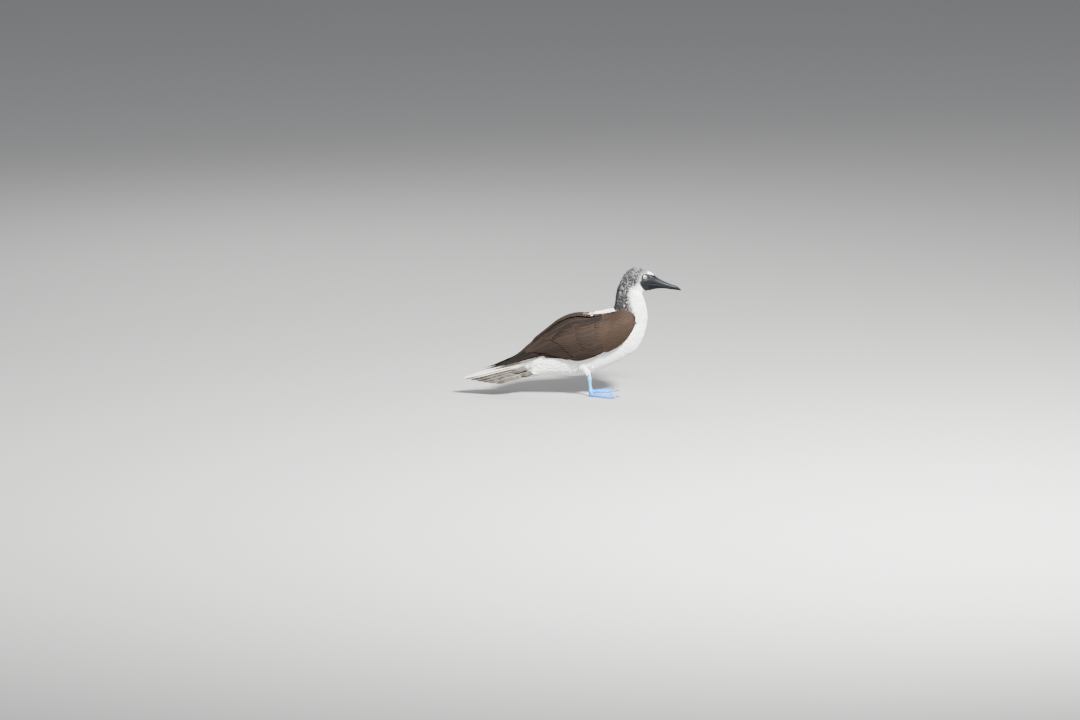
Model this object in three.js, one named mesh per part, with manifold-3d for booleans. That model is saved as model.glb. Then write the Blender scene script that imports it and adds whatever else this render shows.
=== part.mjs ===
// A life-size blue-footed booby, standing still on both feet with its wings folded.
// Millimetres, +Z up, +X towards the bill, +Y to the bird's left. The floor is z = 0.
import * as THREE from "three";
import { mergeVertices } from "three/addons/utils/BufferGeometryUtils.js";
import Module from "manifold-3d";

const wasm = await Module();
wasm.setup();

// Driving sizes
const GAP = 0.35;
const GROW = 0.4;
const BODY_RINGS = 25;
const BODY_SIDES = 20;
const HEAD_RINGS = 15;
const HEAD_SIDES = 14;
const FULLNESS = 0.92;

// Each rib of the body joins a point on the back to a point on the belly: x and z of each, then
// the half width. They run from the tail's root, round the breast and up the neck to the throat.
const BODY_RIBS = [
  { back: [-152, 90], belly: [-150, 62], half: 13 },
  { back: [-117, 112], belly: [-120, 47], half: 22 },
  { back: [-85, 138], belly: [-93, 50.5], half: 33 },
  { back: [-50, 165], belly: [-58, 52.5], half: 44 },
  { back: [-12, 188], belly: [-14, 52.5], half: 53 },
  { back: [26, 205], belly: [29, 53], half: 58 },
  { back: [58, 215], belly: [69, 64.5], half: 61 },
  { back: [85, 223], belly: [110, 82], half: 62 },
  { back: [105, 231], belly: [148, 103], half: 60 },
  { back: [115, 241], belly: [177, 125], half: 55 },
  { back: [118, 254], belly: [197, 163], half: 47 },
  { back: [119, 266], belly: [206, 204], half: 39 },
  { back: [121, 280], belly: [204, 234], half: 33 },
  { back: [125, 296], belly: [196, 262], half: 29 },
  { back: [133, 308], belly: [190, 277], half: 25 },
];

// The head's ribs join the crown to the throat and chin, and run out to the bill's tip.
const HEAD_RIBS = [
  { back: [130, 304], belly: [141, 280], half: 14 },
  { back: [139, 325], belly: [154, 270], half: 23.5 },
  { back: [151, 340], belly: [169, 267], half: 26.5 },
  { back: [165, 348], belly: [184, 273], half: 26.5 },
  { back: [179, 349.5], belly: [193, 282], half: 24.5 },
  { back: [191, 346], belly: [200, 284], half: 21.5 },
  { back: [203, 339.5], belly: [210, 285.5], half: 17.5 },
  { back: [216, 334.5], belly: [219, 288], half: 14.2 },
  { back: [229, 322.5], belly: [231, 290.3], half: 11.2 },
  { back: [248, 310.8], belly: [249, 290.8], half: 8.2 },
  { back: [268, 302.3], belly: [268, 288.4], half: 5.8 },
  { back: [284, 296.6], belly: [284, 286.5], half: 3.7 },
  { back: [295.5, 287.4], belly: [294.5, 285.2], half: 0.9 },
];

// Planes in side view, each through two points, that part the body into its nodes.
const TAIL_CUT = [[-104, 130], [-108, 30]];
const NECK_CUT = [[108, 240], [192, 150]];
const HEAD_CUT = [[122, 300], [193, 272]];
const BILL_CUT = [[206, 350], [213, 270]];
const MOUTH = [[184, 310], [226, 304], [268, 294], [301, 282.5]];

const EYE = { x: 196.5, y: 16, z: 324.5, radius: 6.8, lidRing: 5.6, lidWire: 1.3 };

// The folded wing's outer face: at each station the top edge's y and z, the bottom edge's y and z,
// how far the face bulges out between them, and the wing's depth under that face.
const WING_STATIONS = [
  { x: 173, top: [49, 222], bottom: [51, 202], bulge: 1.5, depth: 7 },
  { x: 158, top: [48, 233.5], bottom: [60, 177], bulge: 6, depth: 11 },
  { x: 132, top: [44, 235], bottom: [66, 150.5], bulge: 13, depth: 15 },
  { x: 92, top: [27, 226], bottom: [68, 130], bulge: 22, depth: 17 },
  { x: 50, top: [19, 220], bottom: [66, 113], bulge: 25.5, depth: 17 },
  { x: 8, top: [14, 219.5], bottom: [61, 105], bulge: 23, depth: 17 },
  { x: -31, top: [11, 205], bottom: [54, 107], bulge: 18, depth: 15 },
  { x: -71, top: [8, 175], bottom: [44, 107], bulge: 13, depth: 11 },
  { x: -113, top: [7, 141], bottom: [33, 100], bulge: 8, depth: 8 },
  { x: -151, top: [7, 107], bottom: [25, 92.5], bulge: 4, depth: 5 },
  { x: -192, top: [9, 88], bottom: [19, 81], bulge: 2, depth: 3 },
  { x: -222, top: [12, 77], bottom: [15, 74], bulge: 0.5, depth: 1.6 },
  { x: -238, top: [13, 73.5], bottom: [14, 72], bulge: 0.2, depth: 1 },
];

const LEG = {
  halfStance: 32,
  hip: { x: 28, y: 32, z: 94, radius: 20 },
  knee: { x: 37, y: 32.5, z: 72, radius: 14.5 },
  ankle: { z: 51, radius: 6.2 },
  foot: { z: 11.5, radius: 5.4 },
  shank: 3.9,
  turnOut: 12,
};
const LEG_SIDES = [
  { name: "right", side: -1, ankleX: 48, footX: 52.5 },
  { name: "left", side: 1, ankleX: 42, footX: 52 },
];

// Each toe's heading from the foot's own, outward positive, its length and its claw's length.
const TOES = [
  { turn: 21, length: 70, claw: 9 },
  { turn: -1, length: 72, claw: 10.5 },
  { turn: -22, length: 54, claw: 8.5 },
  { turn: -80, length: 25, claw: 6 },
];
const TOE_SIDES = 6;
const TOE_ROOT_RADIUS = 4.4;
const TOE_TIP_RADIUS = 2.9;
const WEB_TOP = 2.4;
const WEB_BOTTOM = 0.7;

// The wing's own body under its feathers: its rings, how far it lies under the face, where it ends,
// the length over which it thins out, and how far down the face it still reaches there.
const WING_RINGS = 13;
const WING_ARC = 6;
const CORE_SINK = 3;
const CORE_END = -128;
const CORE_TAPER = 60;
const CORE_END_REACH = 0.5;
const BACK_LINE_CLEAR = 1.2;

// The folded wing's tiers of feathers, each drawn before the tier that lies over it. A root and a
// tip give x along the bird and the share of the way down the wing's face, first for the tier's
// uppermost feather and last for its lowest. Lift is the height of the tier over that face.
const WING_TIERS = [
  // Primaries
  {
    count: 5,
    roots: [[-108, 0.34], [-102, 0.48], [-92, 0.62], [-80, 0.76], [-66, 0.88]],
    tips: [[-178, 0.3], [-194, 0.36], [-209, 0.44], [-223, 0.54], [-237, 0.66]],
    half: [7, 6.4],
    lift: [0.4, -1.6],
    depth: 0.75,
  },
  // Tertials and secondaries
  {
    count: 7,
    roots: [[-62, 0.16], [-44, 0.36], [-28, 0.52], [-8, 0.68], [12, 0.8], [26, 0.88]],
    tips: [[-152, 0.16], [-142, 0.34], [-126, 0.5], [-100, 0.7], [-68, 0.88], [-34, 0.97]],
    half: [10.5, 8.4],
    lift: [-0.2, -0.6],
    depth: 0.75,
  },
  // Greater coverts
  {
    count: 7,
    roots: [[26, 0.24], [26, 0.38], [32, 0.52], [42, 0.66], [58, 0.78], [72, 0.88]],
    tips: [[-80, 0.3], [-62, 0.44], [-46, 0.58], [-28, 0.73], [-10, 0.86], [8, 0.95]],
    half: [9.6, 8.4],
    lift: [0.9, 0.7],
    depth: 0.75,
  },
  // Coverts of the hand
  {
    count: 4,
    roots: [[74, 0.72], [84, 0.8], [92, 0.87], [100, 0.93]],
    tips: [[37, 0.7], [22, 0.82], [8, 0.91], [-5, 0.985]],
    half: [7, 5.5],
    lift: [1.7, 1.2],
    depth: 0.75,
  },
  // Median coverts
  {
    count: 5,
    roots: [[82, 0.26], [84, 0.4], [92, 0.56], [102, 0.7], [118, 0.86]],
    tips: [[10, 0.34], [8, 0.46], [12, 0.58], [20, 0.68], [32, 0.79], [50, 0.92]],
    half: [11, 9.6],
    lift: [1.9, 1.9],
    depth: 0.75,
  },
  // Front coverts
  {
    count: 5,
    roots: [[128, 0.3], [130, 0.5], [134, 0.68], [142, 0.84]],
    tips: [[64, 0.32], [62, 0.46], [70, 0.62], [82, 0.78], [100, 0.93]],
    half: [10.5, 9.2],
    lift: [2.7, 2.6],
    depth: 0.75,
  },
  // Scapulars
  {
    count: 6,
    roots: [[118, 0.12], [4, 0.16]],
    tips: [[66, 0.19], [44, 0.2], [20, 0.22], [-2, 0.26], [-22, 0.32], [-40, 0.4], [-56, 0.48]],
    half: [9.5, 10.5],
    lift: [2.6, 2.3],
    depth: 0.75,
  },
];
const VANE_STOPS = [0, 0.45, 0.82, 1];
const VANE_WIDTHS = [0.7, 1, 0.82, 0.24];
const VANE_ROOT_SINK = 6;
const VANE_TIP_LIFT = 0.5;
const VANE_TILT = 1.1;
const JITTER = { along: 2.2, share: 0.008, width: 0.06 };

// The tail's feathers of one side, from the long middle pair to the short outer one.
const RECTRICES = {
  count: 6,
  roots: [[-124, 2, 88], [-122, 9, 60]],
  tips: [
    [-295.5, 4, 46], [-277, 11, 42], [-257, 18.5, 38.8],
    [-236, 25, 36.5], [-215, 30.5, 35.5], [-195, 34, 35.5],
  ],
  swell: [1.5, 9],
  lean: [14, 58],
  half: [9.5, 8.5],
  depth: 0.8,
};
// The coverts over and under the tail's root, on one side.
const TAIL_COVERTS = [
  // Over the root
  {
    count: 2,
    roots: [[-112, 4, 108], [-112, 14, 92]],
    tips: [[-176, 5, 82.5], [-162, 19, 66]],
    swell: [1, 2],
    lean: [12, 62],
    half: [8.5, 8.5],
    depth: 0.8,
  },
  // Under the root
  {
    count: 3,
    roots: [[-112, 4, 52], [-112, 13, 62]],
    tips: [[-172, 4, 41], [-166, 15, 42], [-160, 22, 47]],
    swell: [-1, 2],
    lean: [172, 118],
    half: [8.5, 8.5],
    depth: 0.8,
  },
];

// Colours and finishes
const finishes = {
  white_plumage: { color: 0xf1efe8, roughness: 0.9 },
  streaked_plumage: { color: 0xc9c3ba, roughness: 0.9 },
  brown_plumage: { color: 0x5b4438, roughness: 0.85 },
  tail_plumage: { color: 0xa09483, roughness: 0.85 },
  bill_horn: { color: 0x2f343b, roughness: 0.45 },
  eye_gloss: { color: 0xd8c24a, roughness: 0.1 },
  blue_skin: { color: 0x3f9fd8, roughness: 0.55 },
};

// Turns a closed three.js geometry into a solid, with its faces pointing out.
function solidOf(geometry) {
  const bare = geometry.index ? geometry.toNonIndexed() : geometry.clone();
  bare.deleteAttribute("normal");
  bare.deleteAttribute("uv");
  const merged = mergeVertices(bare, 1e-4);
  const solid = (triVerts) =>
    new wasm.Manifold(
      new wasm.Mesh({
        numProp: 3,
        vertProperties: merged.attributes.position.array,
        triVerts,
      }),
    );
  const faces = new Uint32Array(merged.index.array);
  const made = solid(faces);
  if (made.volume() > 0) return made;
  for (let i = 0; i < faces.length; i += 3)
    [faces[i + 1], faces[i + 2]] = [faces[i + 2], faces[i + 1]];
  return solid(faces);
}

function geometryOf(solid) {
  const mesh = solid.getMesh();
  const positions = new Float32Array(mesh.numVert * 3);
  for (let i = 0; i < mesh.numVert; i++)
    for (let k = 0; k < 3; k++)
      positions[3 * i + k] = mesh.vertProperties[i * mesh.numProp + k];
  const geometry = new THREE.BufferGeometry();
  geometry.setAttribute("position", new THREE.BufferAttribute(positions, 3));
  geometry.setIndex(new THREE.BufferAttribute(mesh.triVerts, 1));
  return geometry;
}

const largestBody = (solid) =>
  solid.decompose().reduce((a, b) => (a.volume() > b.volume() ? a : b));

const join = (solids) => solids.reduce((a, b) => a.add(b));

// A closed skin over rings of equally many points, with a fan over each end.
function loft(rings) {
  const sides = rings[0].length;
  const centre = (ring) =>
    ring
      .reduce((sum, p) => sum.add(p), new THREE.Vector3())
      .divideScalar(sides);
  const points = rings.flat().concat([centre(rings[0]), centre(rings.at(-1))]);
  const index = [];
  for (let i = 0; i + 1 < rings.length; i++)
    for (let j = 0; j < sides; j++) {
      const a = i * sides + j;
      const b = i * sides + ((j + 1) % sides);
      index.push(a, b, b + sides, a, b + sides, a + sides);
    }
  const last = (rings.length - 1) * sides;
  for (let j = 0; j < sides; j++) {
    const next = (j + 1) % sides;
    index.push(rings.length * sides, next, j);
    index.push(rings.length * sides + 1, last + j, last + next);
  }
  return solidOf(new THREE.BufferGeometry().setFromPoints(points).setIndex(index));
}

// A smooth run through a column of values, read at t from 0 to 1.
function column(values) {
  const curve = new THREE.CatmullRomCurve3(
    values.map(([a, b, c]) => new THREE.Vector3(a, b, c)),
    false,
    "catmullrom",
    0.5,
  );
  return (t) => curve.getPoint(Math.min(1, Math.max(0, t)));
}

// The rings of a body made of ribs, grown outwards by a margin.
function ribRings(ribs, count, sides, margin = 0) {
  const backs = column(ribs.map((r) => [r.back[0], r.back[1], r.half]));
  const bellies = column(ribs.map((r) => [r.belly[0], r.belly[1], 0]));
  const rings = [];
  for (let i = 0; i < count; i++) {
    const t = i / (count - 1);
    const back = backs(t);
    const belly = bellies(t);
    const middle = new THREE.Vector3((back.x + belly.x) / 2, 0, (back.y + belly.y) / 2);
    const up = new THREE.Vector3((back.x - belly.x) / 2, 0, (back.y - belly.y) / 2);
    up.setLength(up.length() + margin);
    const half = back.z + margin;
    const ring = [];
    for (let j = 0; j < sides; j++) {
      const turn = (2 * Math.PI * j) / sides;
      const c = Math.cos(turn);
      const s = Math.sin(turn);
      const across = Math.sign(s) * Math.abs(s) ** FULLNESS * half;
      ring.push(
        middle.clone().addScaledVector(up, c).add(new THREE.Vector3(0, across, 0)),
      );
    }
    rings.push(ring);
  }
  return rings;
}

// Keeps what lies to one side of a cut in side view: side 1 is on the left of its two points.
function trim(solid, [a, b], side) {
  const line = new THREE.Vector2(b[0] - a[0], b[1] - a[1]).normalize();
  const normal = [-line.y * side, 0, line.x * side];
  const offset = normal[0] * a[0] + normal[2] * a[1] + GAP / 2;
  return solid.trimByPlane(normal, offset);
}

// A flat feather: its spine's points, the outward normal, half width and tilt at each, and its
// depth. Both faces are split into triangles alike.
function vane(stations, depth) {
  const points = [];
  stations.forEach(({ at, normal, half, tilt }, i) => {
    const next = stations[Math.min(i + 1, stations.length - 1)].at;
    const last = stations[Math.max(i - 1, 0)].at;
    const run = next.clone().sub(last).normalize();
    const out = normal.clone().addScaledVector(run, -normal.dot(run)).normalize();
    const across = new THREE.Vector3().crossVectors(run, out);
    for (const face of [1, -1])
      for (const edge of [-1, 1])
        points.push(
          at
            .clone()
            .addScaledVector(across, edge * half)
            .addScaledVector(out, (face * depth) / 2 + edge * tilt),
        );
  });
  const index = [];
  const quad = (a, b, c, d) => index.push(a, b, c, a, c, d);
  const corners = 4;
  for (let i = 0; i + 1 < stations.length; i++) {
    const o = i * corners;
    const n = o + corners;
    quad(o, o + 1, n + 1, n);
    index.push(o + 2, n + 3, o + 3, o + 2, n + 2, n + 3);
    quad(o + 2, o, n, n + 2);
    quad(o + 1, o + 3, n + 3, n + 1);
  }
  const end = (stations.length - 1) * corners;
  quad(0, 2, 3, 1);
  quad(end, end + 1, end + 3, end + 2);
  return solidOf(new THREE.BufferGeometry().setFromPoints(points).setIndex(index));
}

const both = [1, -1];

// The whole of head, neck and trunk before it is parted.
const bodySolid = (margin) => loft(ribRings(BODY_RIBS, BODY_RINGS, BODY_SIDES, margin));
const headSolid = (margin) => loft(ribRings(HEAD_RIBS, HEAD_RINGS, HEAD_SIDES, margin));

function thighSolid({ side, ankleX }, margin = 0) {
  const { hip, knee, ankle } = LEG;
  const spots = [
    [hip.x - 6, hip.y - 2, hip.z + 22, hip.radius * 0.35],
    [hip.x, hip.y, hip.z, hip.radius],
    [knee.x, knee.y, knee.z, knee.radius],
    [ankleX - 2, LEG.halfStance, ankle.z + 7, ankle.radius + 3],
    [ankleX, LEG.halfStance, ankle.z, ankle.radius],
  ];
  return loft(spots.map(([x, y, z, radius]) => levelRing(x, side * y, z, radius + margin)));
}

function levelRing(x, y, z, radius, squeeze = 1) {
  const sides = 12;
  return Array.from({ length: sides }, (_, j) => {
    const turn = (2 * Math.PI * j) / sides;
    return new THREE.Vector3(
      x + radius * Math.cos(turn),
      y + radius * squeeze * Math.sin(turn),
      z,
    );
  });
}

function tarsusSolid({ side, ankleX, footX }) {
  const { ankle, foot, shank, halfStance } = LEG;
  const top = ankle.z - GAP;
  const stops = [0, 0.14, 0.3, 0.78, 0.92, 1];
  const radii = [ankle.radius, ankle.radius - 0.3, shank, shank, foot.radius - 0.7, foot.radius];
  const rings = stops.map((t, i) =>
    levelRing(
      ankleX + (footX - ankleX) * t,
      side * halfStance,
      top + (foot.z - top) * t,
      radii[i],
      0.8,
    ),
  );
  return loft(rings);
}

// One toe from the foot's joint to its claw's tip, lying on the floor.
function toeSolid(root, heading, toe) {
  const ahead = new THREE.Vector3(Math.cos(heading), Math.sin(heading), 0);
  const across = new THREE.Vector3(-ahead.y, ahead.x, 0);
  const claw = toe.claw / toe.length;
  const stops = [-0.06, 0.12, 0.34, 0.42, 0.64, 0.72, 0.96, 1];
  const knuckles = [0.9, 1, 0.9, 1.12, 0.92, 1.1, 0.95, 0.62];
  const rings = stops.map((t, i) => {
    const radius =
      knuckles[i] * THREE.MathUtils.lerp(TOE_ROOT_RADIUS, TOE_TIP_RADIUS, t);
    return { t, radius, height: radius * 0.78 };
  });
  rings.push({ t: 1 + claw * 0.4, radius: 1.5, height: 2.3 });
  rings.push({ t: 1 + claw, radius: 0.4, height: 0.5 });
  return loft(
    rings.map(({ t, radius, height }) =>
      Array.from({ length: TOE_SIDES }, (_, j) => {
        const turn = (2 * Math.PI * (j + 0.5)) / TOE_SIDES;
        return root
          .clone()
          .addScaledVector(ahead, toe.length * t)
          .addScaledVector(across, radius * Math.sin(turn))
          .setZ(height + radius * Math.cos(turn));
      }),
    ),
  );
}

// The skin between the toes, scalloped between one toe's tip and the next.
function webSolid(root, headings) {
  const tip = (i, share) =>
    new THREE.Vector2(
      root.x + TOES[i].length * share * Math.cos(headings[i]),
      root.y + TOES[i].length * share * Math.sin(headings[i]),
    );
  const outline = new THREE.Shape();
  const first = tip(0, 0.97);
  outline.moveTo(root.x, root.y);
  outline.lineTo(first.x, first.y);
  for (let i = 1; i < TOES.length; i++) {
    const last = tip(i - 1, 0.97);
    const next = tip(i, 0.97);
    const hollow = last.clone().add(next).multiplyScalar(0.5);
    hollow.lerp(new THREE.Vector2(root.x, root.y), 0.13);
    outline.quadraticCurveTo(hollow.x, hollow.y, next.x, next.y);
  }
  outline.lineTo(root.x, root.y);
  return solidOf(
    new THREE.ExtrudeGeometry(outline, {
      depth: WEB_TOP - WEB_BOTTOM,
      bevelEnabled: false,
      curveSegments: 5,
    }).translate(0, 0, WEB_BOTTOM),
  );
}

function footSolid({ side, footX }) {
  const { foot, halfStance, turnOut } = LEG;
  const root = new THREE.Vector3(footX, side * halfStance, 0);
  const headings = TOES.map((toe) => side * THREE.MathUtils.degToRad(turnOut + toe.turn));
  const joint = loft([
    levelRing(footX, side * halfStance, foot.z - GAP, foot.radius, 0.8),
    levelRing(footX + 1, side * halfStance, 7, foot.radius + 1, 0.95),
    levelRing(footX + 1, side * halfStance, 0, foot.radius - 0.5, 0.95),
  ]);
  const toes = TOES.map((toe, i) => toeSolid(root, headings[i], toe));
  return join([joint, webSolid(root, headings), ...toes]).trimByPlane([0, 0, 1], 0);
}

function eyeAxis(side) {
  return new THREE.Vector3(0.3, side, 0.05).normalize();
}

function eyeSolid(side, margin = 0) {
  const ball = new THREE.SphereGeometry(EYE.radius + margin, 12, 8);
  ball.applyQuaternion(
    new THREE.Quaternion().setFromUnitVectors(new THREE.Vector3(0, 1, 0), eyeAxis(side)),
  );
  return solidOf(ball.translate(EYE.x, side * EYE.y, EYE.z));
}

// The lids, as a ring round the opening in the skin.
function lidSolid(side) {
  const ring = new THREE.TorusGeometry(EYE.lidRing, EYE.lidWire, 5, 12);
  ring.applyQuaternion(
    new THREE.Quaternion().setFromUnitVectors(new THREE.Vector3(0, 0, 1), eyeAxis(side)),
  );
  const out = eyeAxis(side).multiplyScalar(Math.sqrt(EYE.radius ** 2 - EYE.lidRing ** 2) + 0.7);
  return solidOf(ring.translate(EYE.x + out.x, side * EYE.y + out.y, EYE.z + out.z));
}

// The closed mouth's line, as a thin slot that runs forward from the gape.
function mouthSolid() {
  const line = new THREE.SplineCurve(MOUTH.map(([x, z]) => new THREE.Vector2(x, z)));
  const points = line.getPoints(10);
  const half = GAP / 2;
  const above = points.map((p) => new THREE.Vector2(p.x, p.y + half));
  const below = points.map((p) => new THREE.Vector2(p.x, p.y - half)).reverse();
  const slot = new THREE.ExtrudeGeometry(new THREE.Shape([...above, ...below]), {
    depth: 80,
    bevelEnabled: false,
  });
  return solidOf(slot.translate(0, 0, -40).rotateX(Math.PI / 2));
}

// The outer face of a folded wing: x runs along the bird, v from the top edge 0 to the bottom 1.
const wingTop = column(WING_STATIONS.map((s) => [s.x, s.top[0], s.top[1]]));
const wingBottom = column(WING_STATIONS.map((s) => [s.x, s.bottom[0], s.bottom[1]]));
const wingForm = column(WING_STATIONS.map((s) => [s.x, s.bulge, s.depth]));

function wingShare(x) {
  let low = 0;
  let high = 1;
  for (let i = 0; i < 30; i++) {
    const middle = (low + high) / 2;
    if (wingTop(middle).x > x) low = middle;
    else high = middle;
  }
  return (low + high) / 2;
}

// A point of the right or left wing's face at share u of its length, raised off it by lift.
function wingPoint(side, u, v, lift = 0) {
  const top = wingTop(u);
  const bottom = wingBottom(u);
  const form = wingForm(u);
  const chord = new THREE.Vector2(bottom.y - top.y, bottom.z - top.z);
  const out = new THREE.Vector2(-chord.y, chord.x).normalize();
  const slope = new THREE.Vector2()
    .copy(chord)
    .addScaledVector(out, form.y * 4 * (1 - 2 * v))
    .normalize();
  const normal = new THREE.Vector2(-slope.y, slope.x);
  const bulge = form.y * 4 * v * (1 - v);
  const y = top.y + chord.x * v + out.x * bulge + normal.x * lift;
  const z = top.z + chord.y * v + out.y * bulge + normal.y * lift;
  return {
    at: new THREE.Vector3(top.x + (bottom.x - top.x) * v, side * y, z),
    normal: new THREE.Vector3(0, side * normal.x, normal.y),
  };
}

// A seeded run of numbers from 0 to 1, the same each time.
function draws(seed) {
  let state = seed;
  return () => {
    state = (state * 1664525 + 1013904223) % 4294967296;
    return state / 4294967296;
  };
}

const spread = (random, reach) => (random() * 2 - 1) * reach;

// Reads a list of points evenly as one run from its first to its last.
function along(list, share) {
  const place = share * (list.length - 1);
  const i = Math.min(Math.floor(place), list.length - 2);
  return list[i].map((value, k) => THREE.MathUtils.lerp(value, list[i + 1][k], place - i));
}

const between = ([first, last], share) => THREE.MathUtils.lerp(first, last, share);

// The wing's own body, under its feathers: it thins out towards the rear.
function wingCore(side) {
  const last = wingShare(CORE_END);
  const rings = [];
  for (let i = 0; i < WING_RINGS; i++) {
    const u = (last * i) / (WING_RINGS - 1);
    const behind = Math.min(1, (wingTop(u).x - CORE_END) / CORE_TAPER);
    const reach = CORE_END_REACH + (1 - CORE_END_REACH) * behind;
    const depth = wingForm(u).z * (0.35 + 0.65 * behind);
    const outer = [];
    const inner = [];
    for (let j = 0; j <= WING_ARC; j++) {
      const v = (reach * j) / WING_ARC;
      outer.push(wingPoint(side, u, v, -Math.min(CORE_SINK, depth * 0.25)).at);
      inner.push(wingPoint(side, u, v, -depth * (0.55 + 1.8 * v * (1 - v))).at);
    }
    rings.push([...outer, ...inner.reverse()]);
  }
  return loft(rings);
}

// One feather laid on the wing's face: the root sinks in, and the tip lifts a little.
function wingVane(side, tier, share, random) {
  const root = along(tier.roots, share);
  const tip = along(tier.tips, share);
  root[0] += spread(random, JITTER.along);
  tip[0] += spread(random, JITTER.along);
  tip[1] += spread(random, JITTER.share);
  const half = between(tier.half, share) * (1 + spread(random, JITTER.width));
  const lift = between(tier.lift, share);
  const stations = VANE_STOPS.map((t, i) => {
    const x = THREE.MathUtils.lerp(root[0], tip[0], t);
    const v = THREE.MathUtils.lerp(root[1], tip[1], t);
    const u = wingShare(x);
    const sunk = t < 0.1 ? -VANE_ROOT_SINK : VANE_TIP_LIFT * t * t;
    const width = half * VANE_WIDTHS[i];
    return {
      ...wingPoint(side, u, v, lift + sunk),
      half: width,
      tilt: side * VANE_TILT * VANE_WIDTHS[i],
    };
  });
  return vane(stations, tier.depth);
}

function wingSolid(side, neighbours) {
  const random = draws(side > 0 ? 11 : 29);
  const vanes = WING_TIERS.flatMap((tier) =>
    Array.from({ length: tier.count }, (_, i) =>
      wingVane(side, tier, i / (tier.count - 1), random),
    ),
  );
  const feathered = join([wingCore(side), ...vanes]);
  return largestBody(feathered.subtract(neighbours).trimByPlane([0, side, 0], BACK_LINE_CLEAR));
}

// One feather of the tail or of its coverts, leaning outwards like the side of a roof.
function tailVane(side, tier, share, margin) {
  const root = along(tier.roots, share);
  const tip = along(tier.tips, share);
  const lean = THREE.MathUtils.degToRad(between(tier.lean, share));
  const normal = new THREE.Vector3(0, side * Math.sin(lean), Math.cos(lean));
  const swell = between(tier.swell, share);
  const half = between(tier.half, share);
  const stations = VANE_STOPS.map((t, i) => {
    const [x, y, z] = root.map((value, k) => THREE.MathUtils.lerp(value, tip[k], t));
    const out = swell * Math.sin(Math.PI * t);
    return {
      at: new THREE.Vector3(x - margin * t * 2, side * y, z).addScaledVector(normal, out),
      normal,
      half: half * VANE_WIDTHS[i] + margin,
      tilt: side * VANE_TILT * VANE_WIDTHS[i],
    };
  });
  return vane(stations, tier.depth + 2 * margin);
}

function tailSolid(root, margin = 0) {
  const vanes = [RECTRICES, ...TAIL_COVERTS].flatMap((tier) =>
    both.flatMap((side) =>
      Array.from({ length: tier.count }, (_, i) =>
        tailVane(side, tier, i / (tier.count - 1), margin),
      ),
    ),
  );
  return largestBody(join([root, ...vanes]));
}

// The whole body, then its parting into trunk, tail, neck, head and bill.
const wholeBody = bodySolid(0);
const wholeHead = headSolid(0)
  .add(join(both.map(lidSolid)))
  .subtract(join(both.map((side) => eyeSolid(side, GAP))));
const wholeNeckAndHead = wholeBody.add(wholeHead);
const thighs = LEG_SIDES.map((leg) => thighSolid(leg));
const thighHoles = join(LEG_SIDES.map((leg) => thighSolid(leg, GROW)));

const torso = trim(trim(wholeBody, TAIL_CUT, 1), NECK_CUT, -1).subtract(thighHoles);
const neck = trim(trim(wholeNeckAndHead, NECK_CUT, 1), HEAD_CUT, -1);
const head = trim(trim(wholeNeckAndHead, HEAD_CUT, 1), BILL_CUT, -1).subtract(mouthSolid());
const [upperBill, lowerBill] = trim(wholeHead, BILL_CUT, 1)
  .subtract(mouthSolid())
  .decompose()
  .sort((a, b) => b.volume() - a.volume());
const tail = trim(tailSolid(trim(wholeBody, TAIL_CUT, -1)), TAIL_CUT, -1);
const wingNeighbours = bodySolid(GROW).add(tailSolid(bodySolid(GROW), GROW)).add(thighHoles);

const group = new THREE.Group();
function place(name, finish, solid) {
  const material = new THREE.MeshStandardMaterial({ ...finishes[finish], metalness: 0 });
  const mesh = new THREE.Mesh(geometryOf(solid), material);
  mesh.name = name;
  group.add(mesh);
}

place("torso", "white_plumage", torso);
place("neck", "streaked_plumage", largestBody(neck));
place("head", "streaked_plumage", largestBody(head));
place("bill_upper", "bill_horn", upperBill);
place("bill_lower", "bill_horn", lowerBill);
place("tail", "tail_plumage", largestBody(tail));
for (const side of both) {
  const name = side > 0 ? "left" : "right";
  place(`eye_${name}`, "eye_gloss", eyeSolid(side));
  place(`wing_${name}`, "brown_plumage", wingSolid(side, wingNeighbours));
}
LEG_SIDES.forEach((leg, i) => {
  place(`thigh_${leg.name}`, "white_plumage", thighs[i]);
  place(`tarsus_${leg.name}`, "blue_skin", tarsusSolid(leg));
  place(`foot_${leg.name}`, "blue_skin", largestBody(footSolid(leg)));
});
export default group;
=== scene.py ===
"""A life-size blue-footed booby, standing still on both feet with its wings folded.

Shapes are worked out in millimetres in the part's own frame (+X towards the bill, +Y to the
bird's left, +Z up) and become metres when a mesh is made.
"""

import itertools
import logging
import math
from dataclasses import dataclass, field
from enum import Enum

import bpy
import numpy as np
from bpy.types import Material, Node, NodeSocket, NodeTree, Object
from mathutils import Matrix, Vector
from mathutils.kdtree import KDTree
from numpy import ndarray

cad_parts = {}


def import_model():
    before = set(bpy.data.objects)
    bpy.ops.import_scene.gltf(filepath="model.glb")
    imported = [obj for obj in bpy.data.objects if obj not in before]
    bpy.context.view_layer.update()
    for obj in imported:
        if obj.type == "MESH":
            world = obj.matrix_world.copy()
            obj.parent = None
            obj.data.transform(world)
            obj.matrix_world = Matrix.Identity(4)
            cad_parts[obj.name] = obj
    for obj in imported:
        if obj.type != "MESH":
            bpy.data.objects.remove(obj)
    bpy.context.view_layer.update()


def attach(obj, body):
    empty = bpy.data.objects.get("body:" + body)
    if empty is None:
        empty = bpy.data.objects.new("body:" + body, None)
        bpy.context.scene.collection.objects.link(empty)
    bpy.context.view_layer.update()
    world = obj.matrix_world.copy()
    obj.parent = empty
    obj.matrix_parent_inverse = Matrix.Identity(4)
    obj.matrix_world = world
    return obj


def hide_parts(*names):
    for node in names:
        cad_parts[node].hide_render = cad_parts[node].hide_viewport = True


LOG = logging.getLogger("booby")
MM = 0.001
BODY = "root"
BOTH = (1, -1)
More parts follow.
